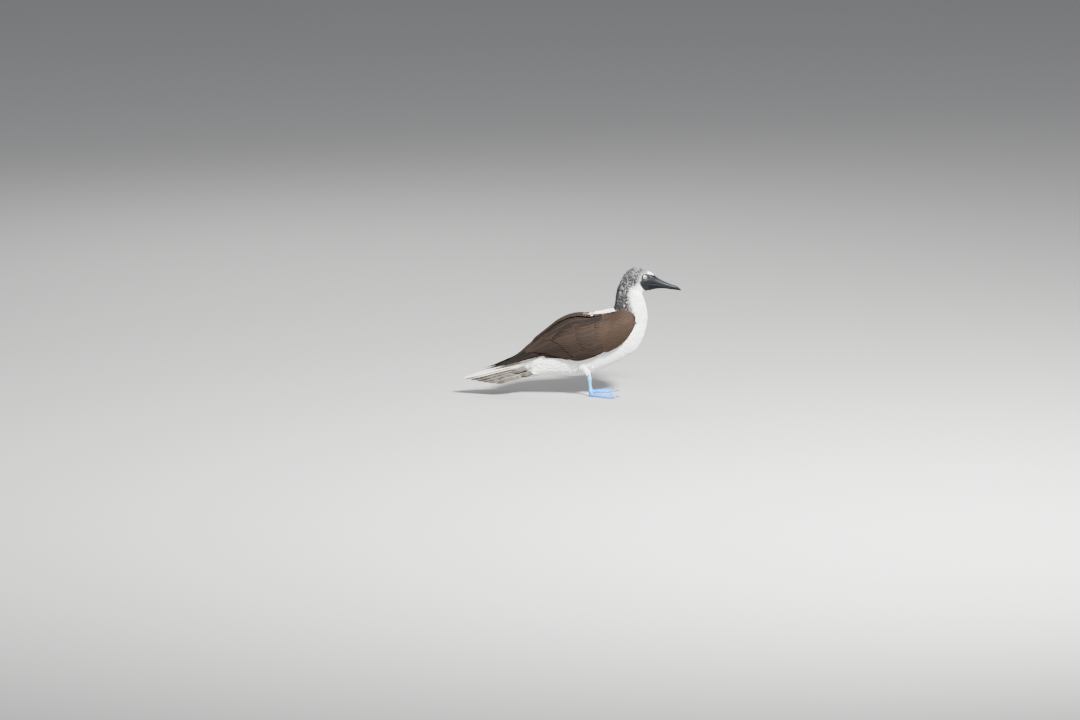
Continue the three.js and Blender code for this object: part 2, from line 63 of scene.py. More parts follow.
SIDE_NAMES = {1: "left", -1: "right"}
SEED = 20

PHOTO_SIZE = (1080, 720)
PHOTO_MM_PER_PIXEL = 2.7
PHOTO_ORIGIN_PIXEL = (571.35, 394.5)
PHOTO_ELEVATION = 10.0


class Zone(Enum):
    """A stretch of plumage with one size of feather."""

    HEAD = "head"
    NECK = "neck"
    BREAST = "breast"
    BELLY = "belly"
    BACK = "back"
    THIGHS = "thighs"


def smooth_column(values: list, t: ndarray) -> ndarray:
    """Reads a smooth run through rows of values.

    Args:
        values: rows of numbers, evenly spaced along the run.
        t: places along the run, from 0 to 1.

    Returns:
        One row of values for each place.
    """
    rows = np.asarray(values, float)
    padded = np.vstack([2 * rows[0] - rows[1], rows, 2 * rows[-1] - rows[-2]])
    spans = len(rows) - 1
    place = np.clip(np.asarray(t, float), 0, 1) * spans
    i = np.minimum(place.astype(int), spans - 1)
    f = (place - i)[..., None]
    p0, p1, p2, p3 = (padded[i + k] for k in range(4))
    return 0.5 * (
        2 * p1
        + (p2 - p0) * f
        + (2 * p0 - 5 * p1 + 4 * p2 - p3) * f**2
        + (3 * p1 - p0 - 3 * p2 + p3) * f**3
    )


def even_run(values: list, share: ndarray) -> ndarray:
    """Reads rows of values along straight steps from the first to the last.

    Args:
        values: rows of numbers.
        share: places from 0 to 1.

    Returns:
        One row for each place.
    """
    rows = np.asarray(values, float)
    stops = np.linspace(0, 1, len(rows))
    return np.stack([np.interp(share, stops, rows[:, k]) for k in range(rows.shape[1])], -1)


def turns(sides: int) -> ndarray:
    """Even angles round a circle."""
    return 2 * math.pi * np.arange(sides) / sides


def level(heading: float) -> ndarray:
    """The level direction of a heading in radians."""
    return np.array([math.cos(heading), math.sin(heading), 0])


def smoothstep(low: float, high: float, value: ndarray) -> ndarray:
    """A soft step from 0 at low to 1 at high."""
    t = np.clip((value - low) / (high - low), 0, 1)
    return t * t * (3 - 2 * t)


def unit(vectors: ndarray) -> ndarray:
    """The vectors at length 1."""
    return vectors / np.maximum(np.linalg.norm(vectors, axis=-1, keepdims=True), 1e-9)


def grid_quads(rows: int, columns: int, closed: bool, start: int = 0) -> ndarray:
    """The faces of a grid of points.

    Args:
        rows: how many rows of points.
        columns: how many points in a row.
        closed: whether each row joins its last point to its first.
        start: the first point's index.

    Returns:
        One row of four point indices for each face.
    """
    last = columns if closed else columns - 1
    i, j = np.meshgrid(np.arange(rows - 1), np.arange(last), indexing="ij")
    k = (j + 1) % columns
    here, below = i * columns, (i + 1) * columns
    faces = np.stack([here + j, here + k, below + k, below + j], -1)
    return faces.reshape(-1, 4) + start


def closed_loft(rings: ndarray) -> tuple[ndarray, list[ndarray]]:
    """A closed skin over rings of points, with a fan over each end.

    Args:
        rings: an array of rings, points and coordinates.

    Returns:
        The points, and the faces as quads and triangles.
    """
    count, sides, _ = rings.shape
    points = np.vstack([rings.reshape(-1, 3), rings[0].mean(0), rings[-1].mean(0)])
    j = np.arange(sides)
    k = (j + 1) % sides
    last = (count - 1) * sides
    first_fan = np.stack([np.full(sides, count * sides), k, j], -1)
    last_fan = np.stack([np.full(sides, count * sides + 1), last + j, last + k], -1)
    return points, [grid_quads(count, sides, True), np.vstack([first_fan, last_fan])]


@dataclass
class MeshParts:
    """Points, faces and values a point that are gathered into one mesh."""

    points: list = field(default_factory=list)
    faces: list = field(default_factory=list)
    values: dict = field(default_factory=dict)
    uvs: list = field(default_factory=list)
    total: int = 0

    def add(
        self, points: ndarray, faces: list, values: dict | None = None, uv: ndarray | None = None
    ) -> None:
        """Adds points and the faces between them.

        Args:
            points: places in millimetres.
            faces: arrays of point indices, each with 3 or 4 columns.
            values: one number a point for each named value.
            uv: one map place a point.
        """
        self.points.append(points)
        self.faces.extend(f + self.total for f in faces if len(f))
        for name, numbers in (values or {}).items():
            self.values.setdefault(name, []).append(np.broadcast_to(numbers, len(points)))
        if uv is not None:
            self.uvs.append(uv)
        self.total += len(points)

    def build(self, name: str, smooth: bool = True) -> Object:
        """Makes the mesh and its object.

        Args:
            name: the piece's name.
            smooth: whether its faces are shaded smooth.

        Returns:
            The new object, in metres.
        """
        points = np.vstack(self.points) * MM
        mesh = bpy.data.meshes.new(name)
        mesh.vertices.add(len(points))
        mesh.vertices.foreach_set("co", points.astype(np.float32).ravel())
        sizes = np.concatenate([np.full(len(f), f.shape[1]) for f in self.faces])
        loops = np.concatenate([f.ravel() for f in self.faces]).astype(np.int32)
        mesh.loops.add(len(loops))
        mesh.loops.foreach_set("vertex_index", loops)
        mesh.polygons.add(len(sizes))
        starts = np.concatenate([[0], np.cumsum(sizes)[:-1]]).astype(np.int32)
        mesh.polygons.foreach_set("loop_start", starts)
        mesh.polygons.foreach_set("loop_total", sizes.astype(np.int32))
        if self.uvs:
            layer = mesh.uv_layers.new(name="OFBake")
            layer.data.foreach_set("uv", np.vstack(self.uvs)[loops].astype(np.float32).ravel())
        for key, numbers in self.values.items():
            attribute = mesh.attributes.new(key, "FLOAT", "POINT")
            attribute.data.foreach_set("value", np.concatenate(numbers).astype(np.float32))
        mesh.polygons.foreach_set("use_smooth", np.full(len(sizes), smooth))
        mesh.update(calc_edges=True)
        mesh.validate()
        piece = bpy.data.objects.new(name, mesh)
        bpy.context.scene.collection.objects.link(piece)
        return piece


def read_mesh(items: bpy.types.bpy_prop_collection, name: str, columns: int, kind: type) -> ndarray:
    """One property of all of a mesh's points, corners or faces, a row each."""
    numbers = np.zeros(len(items) * columns, kind)
    items.foreach_get(name, numbers)
    return numbers.reshape(-1, columns)


def remeshed(parts: MeshParts, name: str, voxel: float, smoothing: int) -> tuple:
    """Fuses closed shells into one even skin.

    Args:
        parts: the shells.
        name: a working name.
        voxel: the skin's grain in millimetres.
        smoothing: how many rounds of smoothing follow.

    Returns:
        The skin's points in millimetres, its normals and its quads.
    """
    rough = parts.build(name + "_rough")
    fuse = rough.modifiers.new("fuse", "REMESH")
    fuse.mode = "VOXEL"
    fuse.voxel_size = voxel * MM
    even = rough.modifiers.new("even", "SMOOTH")
    even.factor = 0.5
    even.iterations = smoothing
    depsgraph = bpy.context.evaluated_depsgraph_get()
    mesh = bpy.data.meshes.new_from_object(rough.evaluated_get(depsgraph))
    points = read_mesh(mesh.vertices, "co", 3, np.float32)
    normals = read_mesh(mesh.vertex_normals, "vector", 3, np.float32)
    if (read_mesh(mesh.polygons, "loop_total", 1, np.int32) != 4).any():
        raise RuntimeError("the remeshed skin isn't all quads")
    quads = read_mesh(mesh.loops, "vertex_index", 1, np.int32).reshape(-1, 4)
    bpy.data.objects.remove(rough)
    bpy.data.meshes.remove(mesh)
    return points / MM, normals, quads


@dataclass(frozen=True)
class RibForm:
    """A body made of ribs, each from a point on the back to one on the belly, with a half width."""

    ribs: tuple
    fullness: float = 0.92

    def surface(self, t: ndarray, turn: ndarray, margin: float = 0.0) -> ndarray:
        """Points of the form.

        Args:
            t: places from the first rib 0 to the last 1.
            turn: angles round the form, 0 on the back.
            margin: how far outside the form they lie.

        Returns:
            Their places in millimetres.
        """
        backs = smooth_column([[b[0], b[1], h] for b, _, h in self.ribs], t)
        bellies = smooth_column([[b[0], b[1]] for _, b, _ in self.ribs], t)
        middle = (backs[..., :2] + bellies) / 2
        up = (backs[..., :2] - bellies) / 2
        length = np.linalg.norm(up, axis=-1, keepdims=True)
        up = up * (length + margin) / length
        s = np.sin(turn)
        across = np.sign(s) * np.abs(s) ** self.fullness * (backs[..., 2] + margin)
        flat = middle + up * np.cos(turn)[..., None]
        return np.stack([flat[..., 0], across, flat[..., 1]], -1)

    def rings(self, count: int, sides: int, last: float = 1.0) -> ndarray:
        """Rings of points along the form, up to the share last of its length."""
        t = np.linspace(0, last, count)[:, None] * np.ones((1, sides))
        turn = np.ones((count, 1)) * turns(sides)[None, :]
        return self.surface(t, turn)


# Each rib: x and z on the back, x and z on the belly, and the half width.
BODY_FORM = RibForm(
    (
        ((-152, 90), (-150, 62), 13), ((-117, 112), (-120, 47), 22),
        ((-85, 138), (-93, 50.5), 33), ((-50, 165), (-58, 52.5), 44),
        ((-12, 188), (-14, 52.5), 53), ((26, 205), (29, 53), 58),
        ((58, 215), (69, 64.5), 61), ((85, 223), (110, 82), 62),
        ((105, 231), (148, 103), 60), ((115, 241), (177, 125), 55),
        ((118, 254), (197, 163), 47), ((119, 266), (206, 204), 39),
        ((121, 280), (204, 234), 33), ((125, 296), (196, 262), 29),
        ((133, 308), (190, 277), 25),
    )
)
HEAD_FORM = RibForm(
    (
        ((130, 304), (141, 280), 14), ((139, 325), (154, 270), 23.5),
        ((151, 340), (169, 267), 26.5), ((165, 348), (184, 273), 26.5),
        ((179, 349.5), (193, 282), 24.5), ((191, 346), (200, 284), 21.5),
        ((203, 339.5), (210, 285.5), 17.5), ((216, 334.5), (219, 288), 14.2),
        ((229, 322.5), (231, 290.3), 11.2), ((248, 310.8), (249, 290.8), 8.2),
        ((268, 302.3), (268, 288.4), 5.8), ((284, 296.6), (284, 286.5), 3.7),
        ((295.5, 287.4), (294.5, 285.2), 0.9),
    )
)
HEAD_FLESH_SHARE = 0.64


@dataclass(frozen=True)
class Eye:
    """The eye's place and size."""

    x: float = 196.5
    y: float = 16.0
    z: float = 324.5
    radius: float = 6.5
    opening: float = 4.6

    def centre(self, side: int) -> ndarray:
        """The eyeball's centre on one side."""
        return np.array([self.x, side * self.y, self.z])

    def axis(self, side: int) -> ndarray:
        """The direction in which the eye looks."""
        return unit(np.array([0.3, side, 0.05]))

    def frame(self, side: int) -> tuple[ndarray, ndarray]:
        """Two directions across the eye's axis: ahead and up."""
        axis = self.axis(side)
        up = unit(np.array([0, 0, 1.0]) - axis * axis[2])
        ahead = np.cross(up, axis)
        return ahead * np.sign(ahead[0]), up

    def place(self, side: int, height: ndarray, ring: ndarray, turn: ndarray) -> ndarray:
        """Points round the eye's axis.

        Args:
            side: the bird's side.
            height: how far each lies along the axis.
            ring: how far each lies from the axis.
            turn: the angles round it, 0 ahead.

        Returns:
            Their places.
        """
        ahead, up = self.frame(side)
        return (
            self.centre(side)
            + height[..., None] * self.axis(side)
            + (ring * np.cos(turn))[..., None] * ahead
            + (ring * np.sin(turn))[..., None] * up
        )

    def ring(self, side: int, points: ndarray) -> tuple[ndarray, ndarray]:
        """How far points lie from the eye's axis, and how far along it."""
        axis = self.axis(side)
        off = points - self.centre(side)
        height = off @ axis
        return np.linalg.norm(off - height[:, None] * axis, axis=1), height


EYE = Eye()


@dataclass(frozen=True)
class Leg:
    """One leg's joints."""

    side: int
    ankle_x: float
    foot_x: float
    half_stance: float = 32.0
    ankle_z: float = 51.0
    foot_z: float = 11.5

    @property
    def label(self) -> str:
        """The side's name."""
        return SIDE_NAMES[self.side]


LEGS = (Leg(-1, 48, 52.5), Leg(1, 42, 52))
HIP = (28, 32, 94, 20)
KNEE = (37, 32.5, 72, 14.5)


def level_rings(spots: list, sides: int, squeeze: float = 1.0) -> ndarray:
    """Level rings at spots given as x, y, z and radius.

    Args:
        spots: the rings' centres and radii.
        sides: points a ring.
        squeeze: the share of the radius across the body.

    Returns:
        The rings' points.
    """
    turn = turns(sides)
    c, s = np.cos(turn), squeeze * np.sin(turn)
    return np.stack([np.stack([x + r * c, y + r * s, np.full(sides, z)], -1) for x, y, z, r in spots])


def map_places(rows: int, columns: int, along: tuple, across: tuple) -> ndarray:
    """Map places for a grid of points, between two limits each way."""
    u, v = np.meshgrid(np.linspace(*along, rows), np.linspace(*across, columns), indexing="ij")
    return np.stack([u, v], -1).reshape(-1, 2)


def smooth_spots(spots: list, count: int) -> list:
    """Spots read smoothly at more places."""
    return [tuple(row) for row in smooth_column(spots, np.linspace(0, 1, count))]


def thigh_rings(leg: Leg) -> ndarray:
    """The feathered upper leg of one side.

    Args:
        leg: the leg.

    Returns:
        The rings' points.
    """
    side = leg.side
    spots = [
        (HIP[0] - 6, side * (HIP[1] - 2), HIP[2] + 22, HIP[3] * 0.35),
        (HIP[0], side * HIP[1], HIP[2], HIP[3]),
        (KNEE[0], side * KNEE[1], KNEE[2], KNEE[3]),
        (leg.ankle_x - 2, side * leg.half_stance, leg.ankle_z + 7, 8.6),
        (leg.ankle_x, side * leg.half_stance, leg.ankle_z + 1, 5.6),
    ]
    return level_rings(smooth_spots(spots, 24), 40)


# Where the dark bare skin of the face ends, in side view, from the forehead down to the chin.
FACE_EDGE = (
    (226, 326.5), (216, 331), (207, 332.5), (198, 333), (191, 330.5), (188, 324),
    (188.5, 317), (183, 311.5), (186, 301), (193, 291), (200, 283),
)
# The line behind which head and neck are densely streaked, from the forehead to the shoulder.
STREAK_LINE = (
    (224, 343), (208, 335), (196, 325), (187, 313), (174, 309), (156, 301), (149, 283),
    (155, 256), (161, 232),
)


def side_of_line(points: ndarray, line: tuple) -> ndarray:
    """How far points lie behind or above a line in side view.

    Args:
        points: places in millimetres.
        line: x and z of the line's points, running backwards and down.

    Returns:
        Distances in millimetres, positive behind the line.
    """
    flat = points[:, (0, 2)]
    best = np.full(len(points), 1e9)
    signed = np.zeros(len(points))
    for a, b in zip(np.asarray(line[:-1], float), np.asarray(line[1:], float)):
        run = b - a
        share = np.clip(((flat - a) @ run) / (run @ run), 0, 1)
        off = flat - (a + share[:, None] * run)
        far = np.linalg.norm(off, axis=1)
        behind = -(run[0] * off[:, 1] - run[1] * off[:, 0])
        closer = far < best
        best = np.where(closer, far, best)
        signed = np.where(closer, far * np.sign(behind), signed)
    return signed


@dataclass(frozen=True)
class Markings:
    """The plumage's markings, which skin and feathers share."""

    streak_start: float = -19.0
    streak_full: float = 5.0
    # Where the nape's extra darkness begins and where it is full. The extra darkness is partly denser
    # streaks and partly painted shade.
    nape_streak_and_shade_start: float = 14.0
    nape_streak_and_shade_full: float = 27.0
    back_front: float = 92.0
    rump: float = -70.0
    tail_corner: tuple = (-80.0, 92.0)
    tail_slope: float = 0.263

    def bare(self, points: ndarray) -> ndarray:
        """The share of bare dark skin at each point, 1 on the face."""
        behind = side_of_line(points, FACE_EDGE)
        x, _, z = points.T
        near = smoothstep(172, 180, x) * smoothstep(277, 282, z)
        return near * (1 - smoothstep(-0.8, 0.8, behind))

    def streaks(self, points: ndarray) -> ndarray:
        """How dark the streaks of head and neck are.

        Args:
            points: places in millimetres.

        Returns:
            Numbers from 0 to about 1.9, the most on the nape, whose extra darkness is partly denser
            streaks and partly painted shade.
        """
        x, _, z = points.T
        behind = side_of_line(points, STREAK_LINE)
        dense = smoothstep(self.streak_start, self.streak_full, behind) ** 1.4
        # The back of the neck is darker still, partly from denser streaks and partly from painted
        # shade.
        nape = smoothstep(self.nape_streak_and_shade_start, self.nape_streak_and_shade_full, behind) * smoothstep(318, 296, z)
        low_end = smoothstep(235, 245, z + 0.5 * (x - 125))
        # The white left over the bill's base is partly pale feathers and partly a painted glint.
        forehead = smoothstep(202, 209, x)
        return (dense + 0.9 * nape) * low_end * (1 - forehead)

    def brown(self, points: ndarray, normals: ndarray) -> ndarray:
        """How brown the back between the wings and the tail's sides are.

        Args:
            points: places in millimetres.
            normals: the outward directions there.

        Returns:
            Shares from 0 to 1.
        """
        x, _, z = points.T
        front = 1 - smoothstep(self.back_front - 12, self.back_front + 8, x)
        behind = smoothstep(self.rump - 18, self.rump + 14, x)
        back = front * behind * smoothstep(0.45, 0.7, normals[:, 2]) * (z > 120)
        off_x, off_z = x - self.tail_corner[0], z - self.tail_corner[1]
        past = smoothstep(-2, 7, 0.72 * off_z - 0.69 * off_x)
        under = smoothstep(3, -4, off_z - self.tail_slope * off_x)
        return np.maximum(back, 0.85 * past * under)


MARKINGS = Markings()


@dataclass(frozen=True)
class FeatherSize:
    """A small feather's sizes in one zone, in millimetres."""

    length: float
    width: float
    spacing: float
    lift: float


ZONE_SIZES = {
    Zone.HEAD: FeatherSize(7.0, 2.6, 1.85, 0.08),
    Zone.NECK: FeatherSize(11.5, 3.9, 2.6, 0.06),
    Zone.BREAST: FeatherSize(14.0, 6.4, 3.3, 0.05),
    Zone.BELLY: FeatherSize(16.0, 7.4, 3.8, 0.05),
    Zone.BACK: FeatherSize(17.0, 9.0, 4.6, 0.05),
    Zone.THIGHS: FeatherSize(9.0, 4.2, 2.3, 0.05),
}
TRIANGLE_LIMIT = 190000
# Numbers that turn a place into an even chance from 0 to 1.
HASH_AXES = (12.9898, 78.233, 37.719)
HASH_SCALE = 43758.5453


@dataclass
class Plumage:
    """The bird's one skin and the small feathers that lie on it."""

    voxel: float = 2.0
    smoothing: int = 10
    throat_rounds: int = 30
    tries: float = 4.2
    least_gap: float = 0.8
    neighbours: int = 14
    eye_clearance: float = 8.6
    socket: tuple = (4.0, 9.5)
    socket_depth: float = 2.4
    body_depth: float = 2.4
    neck_depth: float = 0.9
    most_bare: float = 0.35
    clump: tuple = (3.2, 3.2, 4.6)
    stray: float = 0.09

    def __post_init__(self) -> None:
        self.random = np.random.default_rng(SEED)
        self.points = np.zeros((0, 3))
        self.normals = np.zeros((0, 3))
        self.quads = np.zeros((0, 4), int)
        self.tree = KDTree(0)
        self.form_normals = np.zeros((0, 3))

    def build_skin(self) -> Object:
        """Fuses trunk, neck, head and thighs into one skin under the coat.

        Returns:
            The skin's piece.
        """
        parts = MeshParts()
        shells = [
            BODY_FORM.rings(150, 96),
            HEAD_FORM.rings(80, 72, HEAD_FLESH_SHARE),
            *(thigh_rings(leg) for leg in LEGS),
        ]
        for rings in shells:
            parts.add(*closed_loft(rings))
        points, normals, quads = remeshed(parts, "skin", self.voxel, self.smoothing)
        points = self.soften_throat(points, quads)
        bare = MARKINGS.bare(points)
        under_horn = 1.5 * smoothstep(205, 211, points[:, 0])
        depth = self.coat_depth(points) * (1 - bare) + (0.1 + under_horn) * bare
        points = points - normals * depth[:, None]
        points = self.seat_eyes(points)
        points = points + normals * (self.face_folds(points) * bare)[:, None]
        self.points, self.normals, self.quads = points, normals, quads
        skin = MeshParts()
        values = {
            "bare": bare,
            "streak": MARKINGS.streaks(points),
            "brown": MARKINGS.brown(points, normals),
        }
        skin.add(points, [quads], values)
        return skin.build("skin")

    def soften_throat(self, points: ndarray, quads: ndarray) -> ndarray:
        """Rounds off the crease where the head joins the neck.

        Args:
            points: the skin's points.
            quads: its faces.

        Returns:
            The points, moved.
        """
        ends = np.vstack([quads[:, (0, 1)], quads[:, (1, 2)], quads[:, (2, 3)], quads[:, (3, 0)]])
        count = np.bincount(ends[:, 0], minlength=len(points))[:, None]
        height = points[:, 2] - 0.2 * (points[:, 0] - 160)
        share = smoothstep(246, 268, height) * smoothstep(318, 296, height)
        share = 0.6 * (share * (1 - MARKINGS.bare(points))) * (points[:, 0] < 198)
        for _ in range(self.throat_rounds):
            sums = [np.bincount(ends[:, 0], points[ends[:, 1], k], len(points)) for k in range(3)]
            points = points + (np.stack(sums, -1) / np.maximum(count, 1) - points) * share[:, None]
        return points

    def zone_weights(self, points: ndarray) -> dict:
        """Which zone each point belongs to.

        Args:
            points: places in millimetres.

        Returns:
            A mask for each zone.
        """
        x, y, z = points.T
        head = z - 0.25 * (x - 160) > 262
        neck = ~head & (z > 205) & (x > 106)
        thighs = np.zeros(len(points), bool)
        for leg in LEGS:
            near = np.hypot(x - 38, y - leg.side * 34)
            thighs |= (near < 22) & (z < 74)
        rest = ~head & ~neck & ~thighs
        back = rest & (z > 128) & (np.abs(y) < 44) & (x < 108)
        belly = rest & ~back & (x < 62)
        breast = rest & ~back & ~belly
        return dict(zip(Zone, (head, neck, breast, belly, back, thighs)))

    def coat_depth(self, points: ndarray) -> ndarray:
        """How far the skin lies under the outline at each point.

        Args:
            points: places in millimetres.

        Returns:
            Depths in millimetres.
        """
        x, _, z = points.T
        up_neck = smoothstep(200, 285, z)
        depth = self.body_depth * (1 - up_neck) + self.neck_depth * up_neck
        low = 1 - smoothstep(46, 62, z)
        return depth * (1 - 0.6 * low * (x > 0))

    def seat_eyes(self, points: ndarray) -> ndarray:
        """Draws the skin in round each eye, so that the ball sits in a shallow socket.

        Args:
            points: the skin's points.

        Returns:
            The points, moved.
        """
        for side in BOTH:
            ring, height = EYE.ring(side, points)
            inside = (1 - smoothstep(*self.socket, ring)) * (height > 0)
            points = points - EYE.axis(side) * (inside * self.socket_depth)[:, None]
        return points

    def face_folds(self, points: ndarray) -> ndarray:
        """Fine folds of the bare face, round the eye and down the throat, in millimetres.

        Args:
            points: the skin's points.

        Returns:
            How far each point rises, in millimetres.
        """
        folds = np.zeros(len(points))
        for side in BOTH:
            ring, _ = EYE.ring(side, points)
            here = (1 - smoothstep(9, 16, ring)) * (points[:, 1] * side > 0)
            folds += 0.12 * np.sin(ring * 2.1) * here
        throat = 1 - smoothstep(286, 302, points[:, 2])
        return folds + 0.22 * throat * np.sin(points[:, 1] * 1.3 + points[:, 0] * 0.15)

    def flow_table(self) -> tuple[KDTree, ndarray, ndarray]:
        """A table of places on the forms, with the coat's lie and a map place at each.

        Returns:
            A search tree over the places, the lie's directions and the map places.
        """
        stretches = []
        for form, count, sides, last, low, high in (
            (BODY_FORM, 110, 48, 1.0, 0.02, 0.64),
            (HEAD_FORM, 60, 48, HEAD_FLESH_SHARE, 0.68, 0.98),
        ):
            rings = form.rings(count, sides, last)
            along = -unit(np.gradient(rings, axis=0))
            round_it = np.roll(rings, -1, axis=1) - np.roll(rings, 1, axis=1)
            out = unit(np.cross(round_it, along))
            stretches.append((rings, along, out, map_places(count, sides, (0.02, 0.98), (low, high))))
        for leg in LEGS:
            rings = thigh_rings(leg)[8:]
            down = unit(np.gradient(rings, axis=0) + np.array([-0.6, 0, 0]))
            out = unit(rings - rings.mean(1, keepdims=True))
            stretches.append((rings, down, out, map_places(*rings.shape[:2], (0.3, 0.36), (0.3, 0.36))))
        places, lies, outs, maps = (
            [block.reshape(-1, block.shape[-1]) for block in kind] for kind in zip(*stretches)
        )
        all_places = np.vstack(places)
        tree = KDTree(len(all_places))
        for i, place in enumerate(all_places):
            tree.insert(place, i)
        tree.balance()
        self.form_normals = np.vstack(outs)
        body_end = len(places[0])
        for part in (slice(0, body_end), slice(body_end, body_end + len(places[1]))):
            middle = all_places[part].mean(0)
            if np.einsum("ij,ij->i", self.form_normals[part], all_places[part] - middle).mean() < 0:
                self.form_normals[part] *= -1
        return tree, np.vstack(lies), np.vstack(maps)

    def scatter(self, mask: ndarray, spacing: float) -> tuple[ndarray, ndarray]:
        """Spreads roots evenly over a part of the skin.

        Args:
            mask: which of the skin's points belong to it.
            spacing: the least distance between roots.

        Returns:
            The roots and the skin's normals there.
        """
        quads = self.quads[mask[self.quads].all(1)]
        corners = self.points[quads]
        diagonals = corners[:, 2:] - corners[:, :2]
        area = np.linalg.norm(np.cross(diagonals[:, 0], diagonals[:, 1]), axis=1) / 2
        count = int(area.sum() / spacing**2 * self.tries)
        chosen = self.random.choice(len(quads), count, p=area / area.sum())
        u, v = self.random.random((2, count, 1))
        weights = np.stack([(1 - u) * (1 - v), u * (1 - v), u * v, (1 - u) * v], 1)
        places = (self.points[quads[chosen]] * weights).sum(1)
        normals = unit((self.normals[quads[chosen]] * weights).sum(1))
        cells: dict = {}
        kept = []
        keys = np.floor(places / spacing).astype(int)
        limit = (spacing * self.least_gap) ** 2
        steps = list(itertools.product((-1, 0, 1), repeat=3))
        for i, (a, b, c) in enumerate(keys.tolist()):
            px, py, pz = places[i]
            around = (q for da, db, dc in steps for q in cells.get((a + da, b + db, c + dc), ()))
            if all((px - x) ** 2 + (py - y) ** 2 + (pz - z) ** 2 >= limit for x, y, z in around):
                cells.setdefault((a, b, c), []).append((px, py, pz))
                kept.append(i)
        return places[kept], normals[kept]

    def build_coat(self) -> dict:
        """Lays small feathers over the skin, zone by zone.

        Returns:
            The coat's pieces by name.
        """
        self.tree, lies, maps = self.flow_table()
        weights = self.zone_weights(self.points)
        feathered = MARKINGS.bare(self.points) < self.most_bare
        pieces = {}
        for zone, size in ZONE_SIZES.items():
            roots, normals = self.scatter(weights[zone] & feathered, size.spacing)
            roots, normals = self.clear_of_eyes(roots, normals)
            found = [self.tree.find_n(root, self.neighbours) for root in roots]
            near = np.array([[i for _, i, _ in row] for row in found])
            lie, uv = self.down_the_neck(roots, unit(lies[near].mean(1))), maps[near[:, 0]]
            limit = TRIANGLE_LIMIT // SMALL_FEATHER.triangles
            for start in range(0, len(roots), limit):
                cut = slice(start, start + limit)
                label = f"coat_{zone.value}" + (f"_{start // limit + 1}" if len(roots) > limit else "")
                pieces[label] = self.lay(label, zone, roots[cut], normals[cut], lie[cut], uv[cut])
                LOG.info("%s: %d feathers", label, len(roots[cut]))
        return pieces

    def down_the_neck(self, roots: ndarray, lie: ndarray) -> ndarray:
        """Turns the head's lie softly into the neck's, which runs down."""
        share = smoothstep(320, 272, roots[:, 2]) * smoothstep(225, 255, roots[:, 2])
        down = np.array([-0.3, 0.0, -1.0])
        return unit(lie + (down - lie) * share[:, None])

    def clear_of_eyes(self, roots: ndarray, normals: ndarray) -> tuple[ndarray, ndarray]:
        """Leaves out roots that would lie over an eye."""
        keep = np.ones(len(roots), bool)
        for side in BOTH:
            keep &= np.linalg.norm(roots - EYE.centre(side), axis=1) > self.eye_clearance
        return roots[keep], normals[keep]

    def bend(self, roots: ndarray, lie: ndarray, lengths: ndarray) -> ndarray:
        """How far the skin falls away under the tips of feathers, as a share of their length.

        Args:
            roots: where they grow.
            lie: the coat's direction there.
            lengths: their lengths.

        Returns:
            The shares, within what a feather bends.
        """
        found = [self.tree.find(root)[1] for root in roots]
        ends = [self.tree.find(tip)[1] for tip in roots + lie * lengths[:, None]]
        fall = np.einsum("ij,ij->i", self.form_normals[ends] - self.form_normals[found], lie)
        return np.clip(fall / 2, -0.12, 0.3)

    def lay(
        self,
        label: str,
        zone: Zone,
        roots: ndarray,
        normals: ndarray,
        lie: ndarray,
        uv: ndarray,
    ) -> Object:
        """Lays one zone's feathers at their roots.

        Args:
            label: the piece's name.
            zone: the zone they belong to.
            roots: where they grow.
            normals: the skin's normals there.
            lie: the coat's direction there.
            uv: the roots' places on the unwrapped forms.

        Returns:
            The coat's piece.
        """
        size = ZONE_SIZES[zone]
        count = len(roots)
        off_face = np.abs(side_of_line(roots, FACE_EDGE))
        near_face = 1 - 0.55 * smoothstep(14, 2, off_face) * (roots[:, 2] > 276)
        near_head = 1 + 0.45 * (1 - smoothstep(262, 305, roots[:, 2])) * (zone is Zone.HEAD)
        tail_end = 1 + 0.5 * (1 - smoothstep(-120, -40, roots[:, 0]))
        scale = near_face * near_head * tail_end * self.random.uniform(0.85, 1.15, count)
        streak = MARKINGS.streaks(roots)
        cells = np.floor(roots / np.array(self.clump)) @ np.array(HASH_AXES)
        clump = np.abs(np.sin(cells) * HASH_SCALE) % 1
        values = {
            "streak": streak * (0.6 + 0.75 * clump) * self.random.uniform(0.7, 1.25, count),
            "brown": MARKINGS.brown(roots, normals),
            "chance": self.random.random(count),
        }
        lift = size.lift * (1 + 0.4 * streak) * self.random.uniform(0.8, 1.2, count)
        bend = self.bend(roots, lie, size.length * scale)
        turn = self.random.normal(0, self.stray, count)
        sizes = (size.length * scale, size.width * scale, lift, bend, turn)
        return SMALL_FEATHER.lay(roots, lie, normals, sizes, values, uv).build(label)


